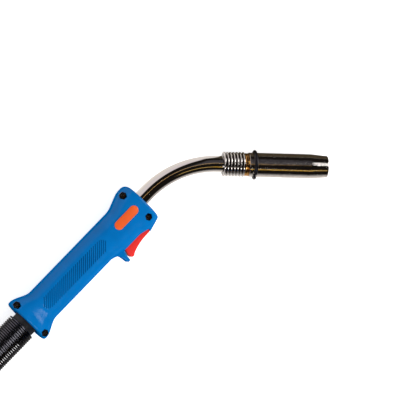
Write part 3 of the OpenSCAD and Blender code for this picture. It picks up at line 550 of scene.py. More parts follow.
def section(x, inset):
    """The handle's cross-section at x, inset by a wall."""
    flare = smooth((FLARE_X - x) / FLARE_LEN)
    up = (GRIP_W + (FLANGE_W - GRIP_W) * flare + (HEAD_W - GRIP_W) * smooth((x - BACK_X) / BACK_LEN)
          - rounding(x, RIM) - rounding(HANDLE_LEN - x, BROW)) - inset
    low = (-GRIP_W - (FLANGE_W - GRIP_W) * flare - (EDGE_Y - GRIP_W) * smooth((x - BELLY_X) / BELLY_LEN)
           - lip(x) + rounding(x, RIM) + rounding(HANDLE_LEN - x, RIM)) + inset
    thick = (GRIP_T + (FLANGE_T - GRIP_T) * flare + (HEAD_T - GRIP_T) * smooth((x - CHEEK_X) / CHEEK_LEN)
             - rounding(x, RIM) - rounding(HANDLE_LEN - x, RIM)) - inset
    points = []
    for a in around(SIDES):
        c, s = math.cos(a), math.sin(a)
        points.append(at(x,
                         (up + low) / 2 + (up - low) / 2 * math.copysign(abs(c) ** (2 / SQUARENESS), c),
                         thick * math.copysign(abs(s) ** (2 / SQUARENESS), s)))
    return points


def handle_form(name, inset, first, last):
    """Round stock is extruded along the handle ring by ring, and each ring is shaped to its section."""
    steps = [first, *[x for x in RIM_STATIONS if x > first], *[x for x in range(4, 28) if x > first + 1]]
    steps += [*range(30, 104, 8), *range(104, 137, 3), *range(137, 166, 2)]
    steps += [*[x for x in FRONT_STATIONS if x < last - 0.05], last]
    steps = sorted({s for s in steps if first <= s <= last})
    piece = ring(name, [at(steps[0], GRIP_W * math.cos(a), GRIP_W * math.sin(a)) for a in around(SIDES)])
    bpy.ops.mesh.edge_face_add()
    for a, b in zip(steps, steps[1:]):
        bpy.ops.mesh.extrude_region_move(TRANSFORM_OT_translate={"value": ((b - a) * MM, 0, 0)})
    outward()
    rings = {round(x, 3): section(x, inset) for x in steps}
    for v in piece.data.vertices:
        x = min(rings, key=lambda s: abs(s * MM + HANDLE.x - v.co.x))
        turn = math.atan2(v.co.z - HANDLE.z, v.co.y - HANDLE.y) % (2 * math.pi)
        v.co = rings[x][round(turn / (2 * math.pi) * SIDES) % SIDES]
    return piece


def arc(cx, cy, r, start, end, steps):
    """Points of an arc about (cx, cy), from one angle to the other in degrees."""
    return [(cx + r * math.cos(math.radians(start + (end - start) * k / steps)),
             cy + r * math.sin(math.radians(start + (end - start) * k / steps))) for k in range(steps + 1)]


def pill(cx, cy, long, wide, steps=16):
    """Outline with two round ends, along X."""
    r = wide / 2
    d = long / 2 - r
    return arc(cx + d, cy, r, -90, 90, steps) + arc(cx - d, cy, r, 90, 270, steps)


def guard_outline():
    """The fixed finger guard behind the trigger, from the grip out to its tip and back."""
    tip = -32.4
    x0 = TRIGGER_REAR - 1.6
    rear = [(x0 - 15, -GRIP_W + 4), (x0 - 12.2, -GRIP_W - 0.05), (x0 - 10.4, -GRIP_W - 0.35),
            (x0 - 8.6, -GRIP_W - 1.0), (x0 - 7.2, -GRIP_W - 1.9), (x0 - 6.1, -GRIP_W - 3.0),
            (x0 - 5.3, -GRIP_W - 4.4), (x0 - 4.8, -GRIP_W - 6.0), (x0 - 4.4, -GRIP_W - 8.0)]
    end = [(x0 - 4.1, tip + 2.4), (x0 - 3.9, tip + 1.2), (x0 - 3.4, tip + 0.4), (x0 - 2.7, tip),
           (x0 - 1.2, tip), (x0 - 0.6, tip + 0.4), (x0 - 0.25, tip + 1.2)]
    front = [(x0 - 0.1, tip + 2.4), (x0 + 0.2, tip + 5.0), (x0 + 0.7, tip + 8), (x0 + 2.4, -EDGE_Y),
             (x0 + 2.4, -GRIP_W + 4)]
    return rear + end + front


def cylinder(name, radius, low, high, place_at, sides=48):
    """A round tool along Z at a point of the handle's frame."""
    x, y = place_at
    return slab(name, arc(x, y, radius, 0, 360 - 360 / sides, sides - 1), low, high)


def hexagon(name, across, low, high, place_at):
    """A six-sided tool along Z, measured across its flats."""
    x, y = place_at
    return slab(name, arc(x, y, across / math.sqrt(3), 0, 300, 5), low, high)


# ---- what is set into the handle, in millimetres ----
# how far from the handle's axis cutting tools reach, so that they end outside it: upwards, and sideways
CLEAR, PAST_EDGE = 45, 80
# half thicknesses of the finger guard and of the trigger's slot, and the Y where the slot ends
GUARD_HALF, SLOT_HALF, SLOT_Y = 8.5, 6.4, -15.5
# radius of the screws' bores, width of the nuts' pockets, radius of the heads' pockets, height of their floors
BORE_R, NUT_ACROSS, HEAD_R, SEAT_Z = 2.2, 7.3, 3.7, 10.5
BADGE_SITE, BADGE_Z = (147, 2.5), 18.1
BADGE_SIZE, BADGE_POCKET = (31.2, 9.6), (31.4, 9.8)
# the cable outlet's collar: its radius, its reach and swing, and the radius of its mouth in the shell
COLLAR_R, COLLAR_REACH, COLLAR_SWING, MOUTH_R = 13.3, 14, math.radians(8), 13.6
NECK_BORE_R = 8.45
# grooves: their numbers, counted from the one at GROOVE_X; spacing, half width, half length and floor
GROOVES = range(-16, 16)
GROOVE_BAND = (68.6, 0, 93, 13.4)
GROOVE_PITCH, GROOVE_X, GROOVE_HALF, GROOVE_REACH, GROOVE_Z = 2.9, 69.7, 0.32, 12.0, 15.7


class BuildShells(bpy.types.Operator):
    """Models the two handle shells: outside, inside, openings, pockets and grooves"""

    bl_idname = "torch.shells"
    bl_label = "Handle shells"

    def execute(self, context):
        whole = handle_form("handle_outside", 0, 0, HANDLE_LEN)
        guard = slab("finger_guard", guard_outline(), -GUARD_HALF, GUARD_HALF)
        soften(guard, 1.6 * MM, angle=60, segments=3)
        combine(whole, guard, "UNION")
        for name, node, side in (("handle_upper", "handle_shell_upper", 1),
                                 ("handle_lower", "handle_shell_lower", -1)):
            half = whole.copy()
            half.data = whole.data.copy()
            half.name = name
            context.scene.collection.objects.link(half)
            edit(half)
            bpy.ops.mesh.bisect(plane_co=HANDLE, plane_no=(0, 0, side), use_fill=True, clear_inner=True)
            bpy.ops.object.mode_set(mode="OBJECT")
            combine(half, handle_form("hollow", WALL, 6, HANDLE_LEN - 8), "DIFFERENCE")
            self.cut(half, side)
            soften(half, 0.25 * MM, angle=50, segments=2, smooth=32)
            hand_over(half, FINISHES["shell"], "torch", node, slot="blue_plastic")
        bpy.data.objects.remove(whole, do_unlink=True)
        return {"FINISHED"}

    def cut(self, half, side):
        """Openings and pockets of one shell."""
        room = [(TRIGGER_REAR + 0.8, -PAST_EDGE), (TRIGGER_REAR + 0.8, -EDGE_Y), (LIP_X - 7, -EDGE_Y),
                (LIP_X, -EDGE_Y - 1.4), (LIP_X, -PAST_EDGE)]
        combine(half, slab("finger_room", room[::-1], -CLEAR, CLEAR), "DIFFERENCE")
        slot = [(TRIGGER_REAR - 0.8, -PAST_EDGE), (LIP_X, -PAST_EDGE), (LIP_X, SLOT_Y),
                (TRIGGER_REAR - 0.8, SLOT_Y)]
        combine(half, slab("trigger_slot", slot, -SLOT_HALF, SLOT_HALF), "DIFFERENCE")
        swing = COLLAR_REACH * math.tan(COLLAR_SWING) + COLLAR_R * (1 / math.cos(COLLAR_SWING) - 1)
        mouth = arc(0, swing, MOUTH_R, 0, 180, 24) + arc(0, -swing, MOUTH_R, 180, 360, 24)
        combine(half, block("outlet_mouth", [at(-1, y, x) for x, y in mouth], (9 * MM, 0, 0)), "DIFFERENCE")
        bore = [at(160, NECK_Y + NECK_BORE_R * math.cos(a), NECK_BORE_R * math.sin(a)) for a in around(64)]
        combine(half, block("neck_bore", bore, (15 * MM, 0, 0)), "DIFFERENCE")
        for p in SCREW_SITES:
            combine(half, cylinder("screw_bore", BORE_R, -CLEAR, CLEAR, p, 32), "DIFFERENCE")
            if side > 0:
                combine(half, hexagon("nut_pocket", NUT_ACROSS, SEAT_Z, CLEAR, p), "DIFFERENCE")
            else:
                combine(half, cylinder("head_pocket", HEAD_R, -CLEAR, -SEAT_Z, p), "DIFFERENCE")
        if side > 0:
            combine(half, slab("badge_pocket", pill(*BADGE_SITE, *BADGE_POCKET), BADGE_Z, 40), "DIFFERENCE")
            combine(half, self.grooves(), "DIFFERENCE")

    def grooves(self):
        """Slanted grooves whose ends follow a band with round ends."""
        c = GROOVE_HALF * math.sqrt(2)
        near, far = GROOVE_REACH - c / 2, GROOVE_REACH + c / 2
        bars = []
        for k in GROOVES:
            x = GROOVE_X + k * GROOVE_PITCH
            outline = [(x - far, -near), (x - near, -far), (x + far, near), (x + near, far)]
            bars.append(slab("groove", outline, GROOVE_Z, 19))
        tools = join(bars, "grooves")
        combine(tools, slab("groove_band", pill(*GROOVE_BAND), 15, 20), "INTERSECT")
        return tools


class BuildFittings(bpy.types.Operator):
    """Models the badge, the trigger and the nuts set in the handle, and dresses the screws and the switch"""

    bl_idname = "torch.fittings"
    bl_label = "Badge, trigger and fasteners"

    def execute(self, context):
        badge = slab("badge_plain", pill(*BADGE_SITE, *BADGE_SIZE, 24), BADGE_Z, BADGE_Z + 1)
        soften(badge, 0.25 * MM)
        hand_over(badge, FINISHES["badge"], "torch", "badge", slot="orange_label")
        trigger = copy_of("trigger", "trigger_moulded")
        soften(trigger, 0.5 * MM, angle=50, segments=3)
        hand_over(trigger, FINISHES["trigger"], "trigger", "trigger", slot="red_plastic")
        nuts = copy_of("handle_nuts", "hex_nuts")
        soften(nuts, 0.35 * MM, angle=40, segments=2, smooth=30)
        hand_over(nuts, FINISHES["oxide"], "torch", "handle_nuts", slot="black_steel")
        dress(FINISHES["spring"], "handle_screws")
        dress(FINISHES["zinc"], "trigger_pin", "housing_screw")
        dress(FINISHES["nylon"], "microswitch_body")
        dress(FINISHES["ceramic"], "switch_plunger")
        dress(FINISHES["brass"], "switch_terminals", "neck_nut", "cable_terminal", "crimp_sleeve")
        dress(FINISHES["lead"], "switch_leads")
        return {"FINISHED"}


class BuildNeck(bpy.types.Operator):
    """Models the bent, chromed neck tube and dresses the layers inside it"""

    bl_idname = "torch.neck"
    bl_label = "Swan neck"

    def execute(self, context):
        rear = at(NECK_REAR, NECK_Y)
        centre = BEND_START - Vector((0, BEND_RADIUS * MM, 0))
        bends = 64
        step = Matrix.Translation(centre) @ Matrix.Rotation(-BEND_ANGLE / bends, 4, "Z")
        step = step @ Matrix.Translation(-centre)
        tubes = []
        for name, r in (("neck_outside", NECK_RADIUS * MM), ("neck_inside", (NECK_RADIUS - 1.5) * MM)):
            piece = ring(name, [rear + Vector((0, r * math.cos(a), r * math.sin(a))) for a in around(96)])
            bpy.ops.mesh.extrude_region_move(TRANSFORM_OT_translate={"value": (BEND_START.x - rear.x, 0, 0)})
            for _ in range(bends):
                bpy.ops.mesh.extrude_region_move()
                shift_picked(piece, step)
            bpy.ops.object.mode_set(mode="OBJECT")
            tubes.append(piece)
        tube = join(tubes, "neck_tube")
        pick(tube, lambda p: abs(p.x - rear.x) < 1e-6)
        bpy.ops.mesh.bridge_edge_loops()
        pick(tube, lambda p: abs((p - BEND_END).dot(NECK_AXIS)) < 1e-6)
        bpy.ops.mesh.bridge_edge_loops()
        outward()
        soften(tube, 0, smooth=40)
        hand_over(tube, FINISHES["chrome"], "torch", "neck_outer_tube", slot="neck_chrome")
        dress(FINISHES["phenolic"], "neck_insulation")
        dress(FINISHES["copper"], "neck_inner_tube")
        dress(FINISHES["zinc"], "wire_liner")
        return {"FINISHED"}


class BuildHead(bpy.types.Operator):
    """Models the finned cooling head and the brass ring, and dresses the parts inside the nozzle"""

    bl_idname = "torch.head"
    bl_label = "Cooling head and tip"

    def execute(self, context):
        edge = context.scene.torch_sizes.fin_edge / MM
        fins, root, top, first, pitch, thick = 7, 9.5, 12.9, 5.35, 3.34, 1.7
        bore, socket, socket_deep = 3.95, 6.25, 5
        outline = [(0.0, bore), (0.0, NECK_RADIUS), (first, NECK_RADIUS)]
        for k in range(fins):
            z = first + k * pitch
            outline += [(z, root)] if k else []
            outline += [*corner(z + edge, top - edge, edge, 180, 90),
                        *corner(z + thick - edge, top - edge, edge, 90, 0), (z + thick, root)]
        end = first + (fins - 1) * pitch + thick
        outline += [(end, socket), (end - socket_deep, socket), (end - socket_deep, bore)]
        head = place(turned("finned_head", outline, 112), NOZZLE_PLACE)
        soften(head, 0, smooth=50)
        hand_over(head, FINISHES["chrome_turned"], "torch", "cooling_head", slot="head_chrome")
        # the ring: a rounded shoulder, a shallow groove and a small front edge
        outline = [(end, socket), (end, 10.3), *corner(end + 1.5, 10.3, 1.5, 180, 90, 6),
                   (end + 2.1, 11.8), (end + 2.4, 11.5), (end + 2.9, 11.5), (end + 3.2, 11.8),
                   (end + 4.6, 11.8), *corner(end + 4.6, 11.3, 0.5, 90, 0), (end + 5.2, socket)]
        seat = place(turned("seat_ring", outline, 96), NOZZLE_PLACE)
        soften(seat, 0, smooth=30)
        hand_over(seat, FINISHES["brass"], "torch", "nozzle_seat_ring", slot="brass")
        dress(FINISHES["phenolic"], "nozzle_insulator")
        dress(FINISHES["brass"], "tip_holder")
        dress(FINISHES["ceramic"], "gas_diffuser")
        dress(FINISHES["copper"], "contact_tip")
        return {"FINISHED"}


class BuildNozzle(bpy.types.Operator):
    """Models the gas nozzle with its tapered end, and the clip ring of bent wire"""

    bl_idname = "torch.nozzle"
    bl_label = "Gas nozzle"

    def execute(self, context):
        start, long, taper = 32.29, 82.59, 17.4
        outer, seat = 12.5, 12.27
        straight = long - taper
        outline = [(0, 9.8), (0, outer - 0.15), (0.15, outer)]
        # the clip's seat
        outline += [(3.2, outer), (3.5, outer), (3.8, seat), (4.1, seat)]
        outline += [(7.5, seat), (7.8, seat), (8.1, outer), (8.4, outer)]
        # the taper, its rounded mouth and the inside
        outline += [(straight - 1.5, outer), (straight, 12.46), (straight + 1.5, 12.36)]
        outline += [(straight + 4, 12.17), (long - 6, 11.56), (long - 1.2, 11.16)]
        outline += corner(long - 0.9, 10.25, 0.9, 80, 0, 5)
        outline += [(long, 8.8), *corner(long - 0.4, 8.9, 0.4, 0, -90, 3), (long - 8, 8.5), (straight, 9.8)]
        outline = [(start + z, r) for z, r in outline]
        nozzle = place(turned("gas_nozzle_shell", outline, 128), NOZZLE_PLACE)
        soften(nozzle, 0, smooth=35)
        hand_over(nozzle, FINISHES["nozzle"], "nozzle", "gas_nozzle", slot="dark_chrome")
        self.clip(start + 6.2)
        return {"FINISHED"}

    def clip(self, z):
        """A round wire run about the nozzle's axis, with one end bent back towards the fins."""
        r, wire, bend = 13.8, 1.5, 2.6
        lean, lean_steps, sweep, sweep_steps = 70, 8, 331, 84
        piece = ring("clip_wire", [Vector((r + wire * math.cos(a), 0, z + wire * math.sin(a))) * MM
                                   for a in around(20)])
        start = Matrix.Rotation(math.radians(-108), 4, "Z")
        centre = start @ Matrix.Translation(Vector((r, 0, z - bend)) * MM)
        back = centre @ Matrix.Rotation(math.radians(-lean / lean_steps), 4, "X") @ centre.inverted()
        on = Matrix.Rotation(math.radians(sweep / sweep_steps), 4, "Z")
        shift_picked(piece, centre @ Matrix.Rotation(math.radians(lean), 4, "X") @ centre.inverted() @ start)
        bpy.ops.mesh.edge_face_add()
        for step in [back] * lean_steps + [on] * sweep_steps:
            bpy.ops.mesh.extrude_region_move()
            shift_picked(piece, step)
        outward()
        place(piece, NOZZLE_PLACE)
        soften(piece, 0.3 * MM, angle=60, smooth=60)
        hand_over(piece, FINISHES["oxide"], "nozzle", "nozzle_clip_ring", slot="black_steel")


# ---- cable and springs, in millimetres ----
CABLE_R = 9.0
COIL_IN, COIL_PITCH, LAYER_TURNS = 72.0, 18.6, 2.25
COIL_OUT = COIL_IN + COIL_PITCH * LAYER_TURNS
COIL_X, COIL_Y = -196.0, -COIL_OUT
LOW_Z = -20 + CABLE_R
TOP_Z = LOW_Z + COIL_PITCH
CONNECTOR_Y, CONNECTOR_Z = -2 * COIL_OUT, 4.0
SPRING_PITCH, SPRING_GAP, COLLAR_END = 2.4, 0.3, -5.7
FRONT_TURNS, REAR_TURNS, DRAWN_TURNS = 41, 24, 9
HOUSING_X = COIL_X + 62 + REAR_TURNS * SPRING_PITCH + SPRING_GAP
FRONT_ROUTE = [
    (-20, 0, 0), (-40, 0, 0), (-65, 0, 0), (-90, 0, 0), (-104, 0, 0), (-114, 0, -0.6), (-124, 0, -2),
    (-134, 0, -4), (-144, 0, -6.6), (-154, 0, -9), (-163, 0, -10.5), (-171, 0, -11), (-178, 0, -11),
]


def cable_route():
    """The cable's centreline from the outlet to the connector."""
    points = [at(*p) for p in FRONT_ROUTE]
    rings = 48
    total = int(2 * LAYER_TURNS * rings)
    for i in range(total + 1):
        t = i / rings
        a = math.radians(90 + 360 * t)
        r = COIL_IN + COIL_PITCH * abs(t - LAYER_TURNS)
        z = LOW_Z + COIL_PITCH * smooth((t - LAYER_TURNS + 0.25) / 0.5)
        points.append(at(COIL_X + r * math.cos(a), COIL_Y + r * math.sin(a), z))
    lead = COIL_X + 18
    for k in (0, 0.05, 0.12, 0.19, 0.26, 0.33, 0.41, 0.6, 0.8, 1):
        points.append(at(lead + (HOUSING_X + 12 - lead) * k, CONNECTOR_Y,
                         TOP_Z + (CONNECTOR_Z - TOP_Z) * smooth((k - 0.05) / 0.36)))
    return points


class BuildCable(bpy.types.Operator):
    """Lays the cable along its route as one tube, from the outlet to the connector"""

    bl_idname = "torch.cable"
    bl_label = "Cable"

    def execute(self, context):
        points = cable_route()
        curve = bpy.data.curves.new("cable_line", "CURVE")
        curve.dimensions = "3D"
        curve.bevel_depth = context.scene.torch_sizes.cable / 2
        curve.bevel_resolution = 6
        curve.use_fill_caps = True
        curve.resolution_u = 3
        line = curve.splines.new("POLY")
        line.points.add(len(points) - 1)
        for p, place_at in zip(line.points, points):
            p.co = (*place_at, 1)
        piece = bpy.data.objects.new("cable_cord", curve)
        context.scene.collection.objects.link(piece)
        hand_over(piece, FINISHES["jacket"], "cable", "cable_front", "cable_coil", "cable_rear",
                  slot="cable_rubber")
        return {"FINISHED"}


class BuildSprings(bpy.types.Operator):
    """Winds the bend spring at the handle and the spring at the connector"""

    bl_idname = "torch.springs"
    bl_label = "Springs"

    def execute(self, context):
        wire = context.scene.torch_sizes.coil_wire / MM / 2
        # the drawn-in turns end where the CAD's do, a little off the cable
        r_end = (CABLE_R + SPRING_GAP + wire) / math.cos(math.radians(22.5))
        front = at(COLLAR_END - SPRING_GAP - wire, 0, 0)
        rear = at(HOUSING_X - SPRING_GAP - wire, CONNECTOR_Y, CONNECTOR_Z)
        for name, node, start, outer, turns in (
            ("spring_at_handle", "bend_spring", front, 16, FRONT_TURNS),
            ("spring_at_connector", "rear_spring", rear, 13.5, REAR_TURNS),
        ):
            spring = self.wind(name, start, outer - wire, turns, r_end, wire)
            hand_over(spring, FINISHES["spring"], "cable", node, slot="spring_steel")
        return {"FINISHED"}

    def wind(self, name, start, r, turns, r_end, wire):
        """A wire section is screwed about the X axis, and the last turns are drawn in towards the cable."""
        piece = ring(name, [Vector((wire * math.cos(a), r + wire * math.sin(a), 0)) * MM for a in around(12)])
        bpy.ops.mesh.edge_face_add()
        bpy.ops.object.mode_set(mode="OBJECT")
        use(piece, "SCREW", axis="X", angle=2 * math.pi * turns, screw_offset=-SPRING_PITCH * MM * turns,
            steps=40 * turns, render_steps=40 * turns, use_normal_calculate=True, use_smooth_shade=True)
        for v in piece.data.vertices:
            t = -v.co.x / (SPRING_PITCH * MM)
            now = math.hypot(v.co.y, v.co.z)
            shift = (r - r_end) * MM * smooth((t - turns + DRAWN_TURNS) / (DRAWN_TURNS - 1))
            v.co.y *= (now - shift) / now
            v.co.z *= (now - shift) / now
        place(piece, Matrix.Translation(start))
        edit(piece)
        outward()
        soften(piece, 0, smooth=60)
        return piece


class BuildConnector(bpy.types.Operator):
    """Dresses the cable outlet's ball, the connector's pieces and its locking nut"""

    bl_idname = "torch.connector"
    bl_label = "Cable outlet and connector"

    def execute(self, context):
        dress(FINISHES["nylon"], "ball_joint", "connector_housing", "insulating_disc", "locking_nut")
        dress(FINISHES["brass"], "centre_pin", "contact_pin_left", "contact_pin_right", "connector_block")
        dress(FINISHES["jacket"], "cable_neck", "cable_stub")
        return {"FINISHED"}


# ---- studio ----
# the view's right and its upright on the floor; the camera is then tilted about the upright
TILT = math.radians(10.3)
TURN = math.radians(45.53)
RIGHT = Vector((math.cos(TURN), -math.sin(TURN), 0))
AWAY = Vector((math.sin(TURN), math.cos(TURN), 0))
UP = Vector((0, 0, 1))
CAMERA_AIM = at(215.71, -42.46) + AWAY * 0.54 * MM - RIGHT * 0.51 * MM
CAMERA_FAR, VIEW_WIDTH, SENSOR = 6.0, 0.4112, 36
LAMP_AIM, LAMP_FAR = at(130, -30), 1.6
# how bright the floor glows to the camera, and how bright the world is on surfaces
FLOOR_GLOW, WORLD_LIGHT = 0.66, 0.56


def band(direction, low, high, soft=0.02):
    """The two soft edges of a card that lies between low and high along a direction."""
    return [(direction, low - soft / 2, low + soft / 2), (direction, high + soft / 2, high - soft / 2)]


STRIP = [*band(Vector((1, 0, 0)), 0.40, 0.47), *band(Vector((0, 1, 0)), -0.56, 0.28, 0.04),
         (RIGHT, 0.2, 0.24)]
NEAR_LINE = [*band(AWAY - RIGHT * 4.2, -0.64, -0.50, 0.04), *band(AWAY, 0.01, 0.21)]
LOW_LINE = [*band(AWAY - RIGHT * 0.42, -0.81, -0.74), *band(RIGHT, 0.12, 0.44, 0.04)]
# What mirrors see around the torch, each over the one before: a colour, its strength, and the edges that
# bound it. An edge is a direction with the heights along it where the card is absent and where it is full.
CARDS = [
    # a dim wall and a pale card on the left, and a dim card overhead
    ("#e3dcdf", 0.12, [(RIGHT, -0.27, -0.33)]),
    ("#f8f0f3", 0.97, [(AWAY - RIGHT * 1.12, 0.89, 0.97)]),
    ("#c8c4d0", 0.12, [*band(RIGHT, 0.10, 0.25, 0.04), *band(AWAY, 0.10, 0.80, 0.1)]),
    # white lamps: one for the handle's flange, one on each side of the nozzle
    ("#ffffff", 0.15, STRIP),
    ("#ffffff", 8.0, [*STRIP, (RIGHT, 0.36, 0.39)]),
    ("#ffffff", 1.3, [*band(RIGHT, 0.315, 0.41, 0.05), *band(AWAY, 0.33, 0.56, 0.2)]),
    ("#ffffff", 5.0, [*band(RIGHT, 0.41, 0.90, 0.04), *band(AWAY, 0.30, 0.58, 0.08)]),
    ("#ffffff", 7.0, [*band(RIGHT, -0.50, 0.08, 0.04), *band(AWAY, -0.68, -0.53, 0.04)]),
    # two warm lamps that draw thin lines along the tubes
    ("#cbae81", 1.0, NEAR_LINE),
    ("#dcb070", 2.2, [*NEAR_LINE, (AWAY, 0.075, 0.045)]),
    ("#e0bc70", 1.15, LOW_LINE),
    ("#e0b040", 1.5, [*LOW_LINE, (RIGHT, 0.22, 0.19)]),
    # the pale ground below
    ("#f2efec", 1.0, [(UP, 0.02, -0.02)]),
]


class BuildStage(bpy.types.Operator):
    """Sets the camera, the floor, the lamps and the studio that the chrome mirrors"""

    bl_idname = "torch.stage"
    bl_label = "Stage"

    def execute(self, context):
        self.camera(context)
        self.floor(context)
        self.lamps(context)
        self.world(context)
        context.scene.view_settings.view_transform = "Standard"
        return {"FINISHED"}

    def camera(self, context):
        """A long lens from above, which frames VIEW_WIDTH across at its aim."""
        right = RIGHT * math.cos(TILT) + UP * math.sin(TILT)
        back = -RIGHT * math.sin(TILT) + UP * math.cos(TILT)
        lens = bpy.data.cameras.new("camera")
        lens.sensor_width = SENSOR
        lens.lens = SENSOR * CAMERA_FAR / VIEW_WIDTH
        lens.clip_end = 50
        eye = bpy.data.objects.new("camera", lens)
        context.scene.collection.objects.link(eye)
        spot = CAMERA_AIM + back * CAMERA_FAR
        eye.matrix_world = Matrix((
            (right.x, AWAY.x, back.x, spot.x),
            (right.y, AWAY.y, back.y, spot.y),
            (right.z, AWAY.z, back.z, spot.z),
            (0, 0, 0, 1),
        ))
        context.scene.camera = eye

    def floor(self, context):
        """Plain paper, which glows white to the camera; mirrors see pale paper and a dark cloth instead."""
        begin()
        bpy.ops.mesh.primitive_plane_add(size=8, location=(0, 0, FLOOR_Z - 0.05 * MM))
        floor = context.object
        floor.name = "studio_floor"
        bpy.ops.object.transform_apply(location=True)
        material, tree, shader, where = finish("floor_paper", context.scene.torch_colours.floor, 0.9)
        ray = add(tree, "ShaderNodeLightPath")
        glow = add(tree, "ShaderNodeEmission", {"Color": (1, 1, 1, 1), "Strength": FLOOR_GLOW})
        # what mirrors see of it: pale paper, lit best beside the nozzle, and a dark cloth beyond the nozzle
        cloth_side = RIGHT - AWAY * 0.1
        sideways, ahead = (
            add(tree, "ShaderNodeVectorMath", {0: where, 1: tuple(axis)},
                operation="DOT_PRODUCT").outputs["Value"]
            for axis in (cloth_side, AWAY)
        )
        past, beyond = (
            add(tree, "ShaderNodeMath", {0: value, 1: limit}, operation="GREATER_THAN").outputs["Value"]
            for value, limit in ((sideways, BEND_END.dot(cloth_side) + 5 * MM), (ahead, BEND_END.dot(AWAY)))
        )
        lit_paper = ahead
        for operation, number in (("SUBTRACT", BEND_END.dot(AWAY)), ("DIVIDE", 0.09), ("EXPONENT", 0.0),
                                  ("MINIMUM", 1.0), ("MULTIPLY", 1.1), ("ADD", 0.15)):
            lit_paper = add(tree, "ShaderNodeMath", {0: lit_paper, 1: number},
                            operation=operation).outputs["Value"]
        cloth = add(tree, "ShaderNodeMath", {0: past, 1: beyond}, operation="MULTIPLY").outputs["Value"]
        level = add(tree, "ShaderNodeMix", {"Factor": beyond, "A": lit_paper, "B": 1.0}, data_type="FLOAT")
        paper = add(tree, "ShaderNodeMix", {"Factor": cloth, "A": (*linear("#fdf8f4"), 1),
                                            "B": (*linear("#4f4637"), 1)}, data_type="RGBA")
        card = add(tree, "ShaderNodeEmission", {"Color": paper.outputs["Result"],
                                                "Strength": level.outputs["Result"]})
        both = add(tree, "ShaderNodeAddShader", {0: shader.outputs["BSDF"], 1: glow.outputs["Emission"]})
        lit = add(tree, "ShaderNodeMixShader", {0: ray.outputs["Is Camera Ray"], 1: shader.outputs["BSDF"],
                                                2: both.outputs["Shader"]})
        seen = add(tree, "ShaderNodeMixShader", {0: ray.outputs["Is Glossy Ray"], 1: lit.outputs["Shader"],
                                                 2: card.outputs["Emission"]})
        tree.links.new(seen.outputs["Shader"], tree.nodes["Material Output"].inputs["Surface"])
        floor.data.materials.append(material)

    def lamps(self, context):
        """A broad soft lamp on the trigger's side and a weaker one opposite; mirrors don't show them."""
        for name, direction, size, power, tint in (
            ("key_lamp", RIGHT * 0.55 - AWAY * 0.45 + UP * 0.7, 1.2, 17.0, "#ffffff"),
            ("fill_lamp", -RIGHT * 0.7 + AWAY * 0.3 + UP * 0.7, 0.9, 2.0, "#f4f6ff"),
        ):
            lamp = bpy.data.lights.new(name, "AREA")
            lamp.shape = "SQUARE"
            lamp.size = size
            lamp.energy = power
            lamp.color = linear(tint)
            stand = bpy.data.objects.new(name, lamp)
            context.scene.collection.objects.link(stand)
            unit = direction.normalized()
            stand.location = LAMP_AIM + unit * LAMP_FAR
            stand.rotation_mode = "QUATERNION"
            stand.rotation_quaternion = unit.to_track_quat("Z", "Y")
            stand.visible_glossy = False

    def world(self, context):
        """White to the camera, an even light on surfaces, and a dark room with cards and lamps to mirrors."""
        world = bpy.data.worlds.new("studio")
        context.scene.world = world
        world.use_nodes = True
        world.cycles.sampling_method = "NONE"
        tree = world.node_tree
        ray = add(tree, "ShaderNodeLightPath")
        where = add(tree, "ShaderNodeTexCoord").outputs["Generated"]
        look = (*linear("#1a1714"), 1)
        for code, strength, edges in CARDS:
            mask = None
            for direction, absent, full in edges:
                height = add(tree, "ShaderNodeVectorMath", {0: where, 1: tuple(direction)},
                             operation="DOT_PRODUCT").outputs["Value"]
                edge = add(tree, "ShaderNodeMapRange",
                           {"Value": height, "From Min": absent, "From Max": full},
                           interpolation_type="SMOOTHSTEP").outputs["Result"]
                if mask is not None:
                    edge = add(tree, "ShaderNodeMath", {0: mask, 1: edge},
                               operation="MULTIPLY").outputs["Value"]
                mask = edge
            rgb = [c * strength for c in linear(code)]
            look = add(tree, "ShaderNodeMix", {"Factor": mask, "A": look, "B": (*rgb, 1)},
                       data_type="RGBA").outputs["Result"]
        plain = add(tree, "ShaderNodeBackground", {"Color": (1, 1, 1, 1), "Strength": WORLD_LIGHT})
        white = add(tree, "ShaderNodeBackground", {"Color": (1, 1, 1, 1), "Strength": 1.0})
        mirror = add(tree, "ShaderNodeBackground", {"Color": look, "Strength": 1.0})
        one = add(tree, "ShaderNodeMixShader", {0: ray.outputs["Is Glossy Ray"],
                                                1: plain.outputs["Background"],
                                                2: mirror.outputs["Background"]})
        two = add(tree, "ShaderNodeMixShader", {0: ray.outputs["Is Camera Ray"], 1: one.outputs["Shader"],
                                                2: white.outputs["Background"]})
        tree.links.new(two.outputs["Shader"], tree.nodes["World Output"].inputs["Surface"])


class TorchPanel(bpy.types.Panel):
    """Sizes, colours and the building steps"""

    bl_idname = "VIEW3D_PT_torch"
    bl_label = "Welding torch"
    bl_space_type = "VIEW_3D"
    bl_region_type = "UI"
    bl_category = "Torch"

    def draw(self, context):
        layout = self.layout
        for group in (context.scene.torch_sizes, context.scene.torch_colours):
            column = layout.column(align=True)
            for name in group.bl_rna.properties.keys():
                if name not in ("rna_type", "name"):
                    column.prop(group, name)
        for step in STEPS:
            layout.operator(step.bl_idname)


STEPS = [BuildStage, BuildSprings, BuildCable, BuildShells, BuildFittings, BuildNeck, BuildHead, BuildNozzle,
         BuildConnector]
CLASSES = [TorchSizes, TorchColours, *STEPS, TorchPanel]


def register():
    for c in CLASSES:
        bpy.utils.register_class(c)
    bpy.types.Scene.torch_sizes = bpy.props.PointerProperty(type=TorchSizes)
    bpy.types.Scene.torch_colours = bpy.props.PointerProperty(type=TorchColours)


def unregister():
    del bpy.types.Scene.torch_sizes
    del bpy.types.Scene.torch_colours
    for c in reversed(CLASSES):
        bpy.utils.unregister_class(c)


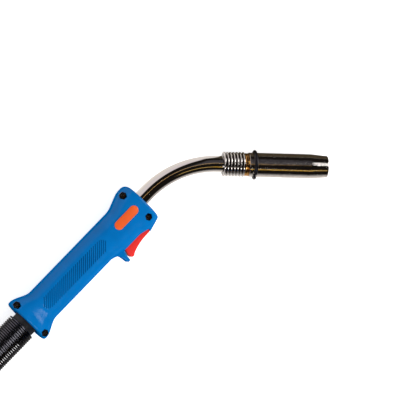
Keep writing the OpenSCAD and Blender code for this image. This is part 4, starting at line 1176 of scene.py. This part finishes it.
def main():
    register()
    scene = bpy.context.scene
    FINISHES.update(make_finishes(scene.torch_colours, scene.torch_sizes))
    bpy.ops.torch.stage()
    bpy.ops.torch.springs()
    bpy.ops.torch.cable()
    bpy.ops.torch.shells()
    bpy.ops.torch.fittings()
    bpy.ops.torch.neck()
    bpy.ops.torch.head()
    bpy.ops.torch.nozzle()
    bpy.ops.torch.connector()


if __name__ == "__main__":
    main()
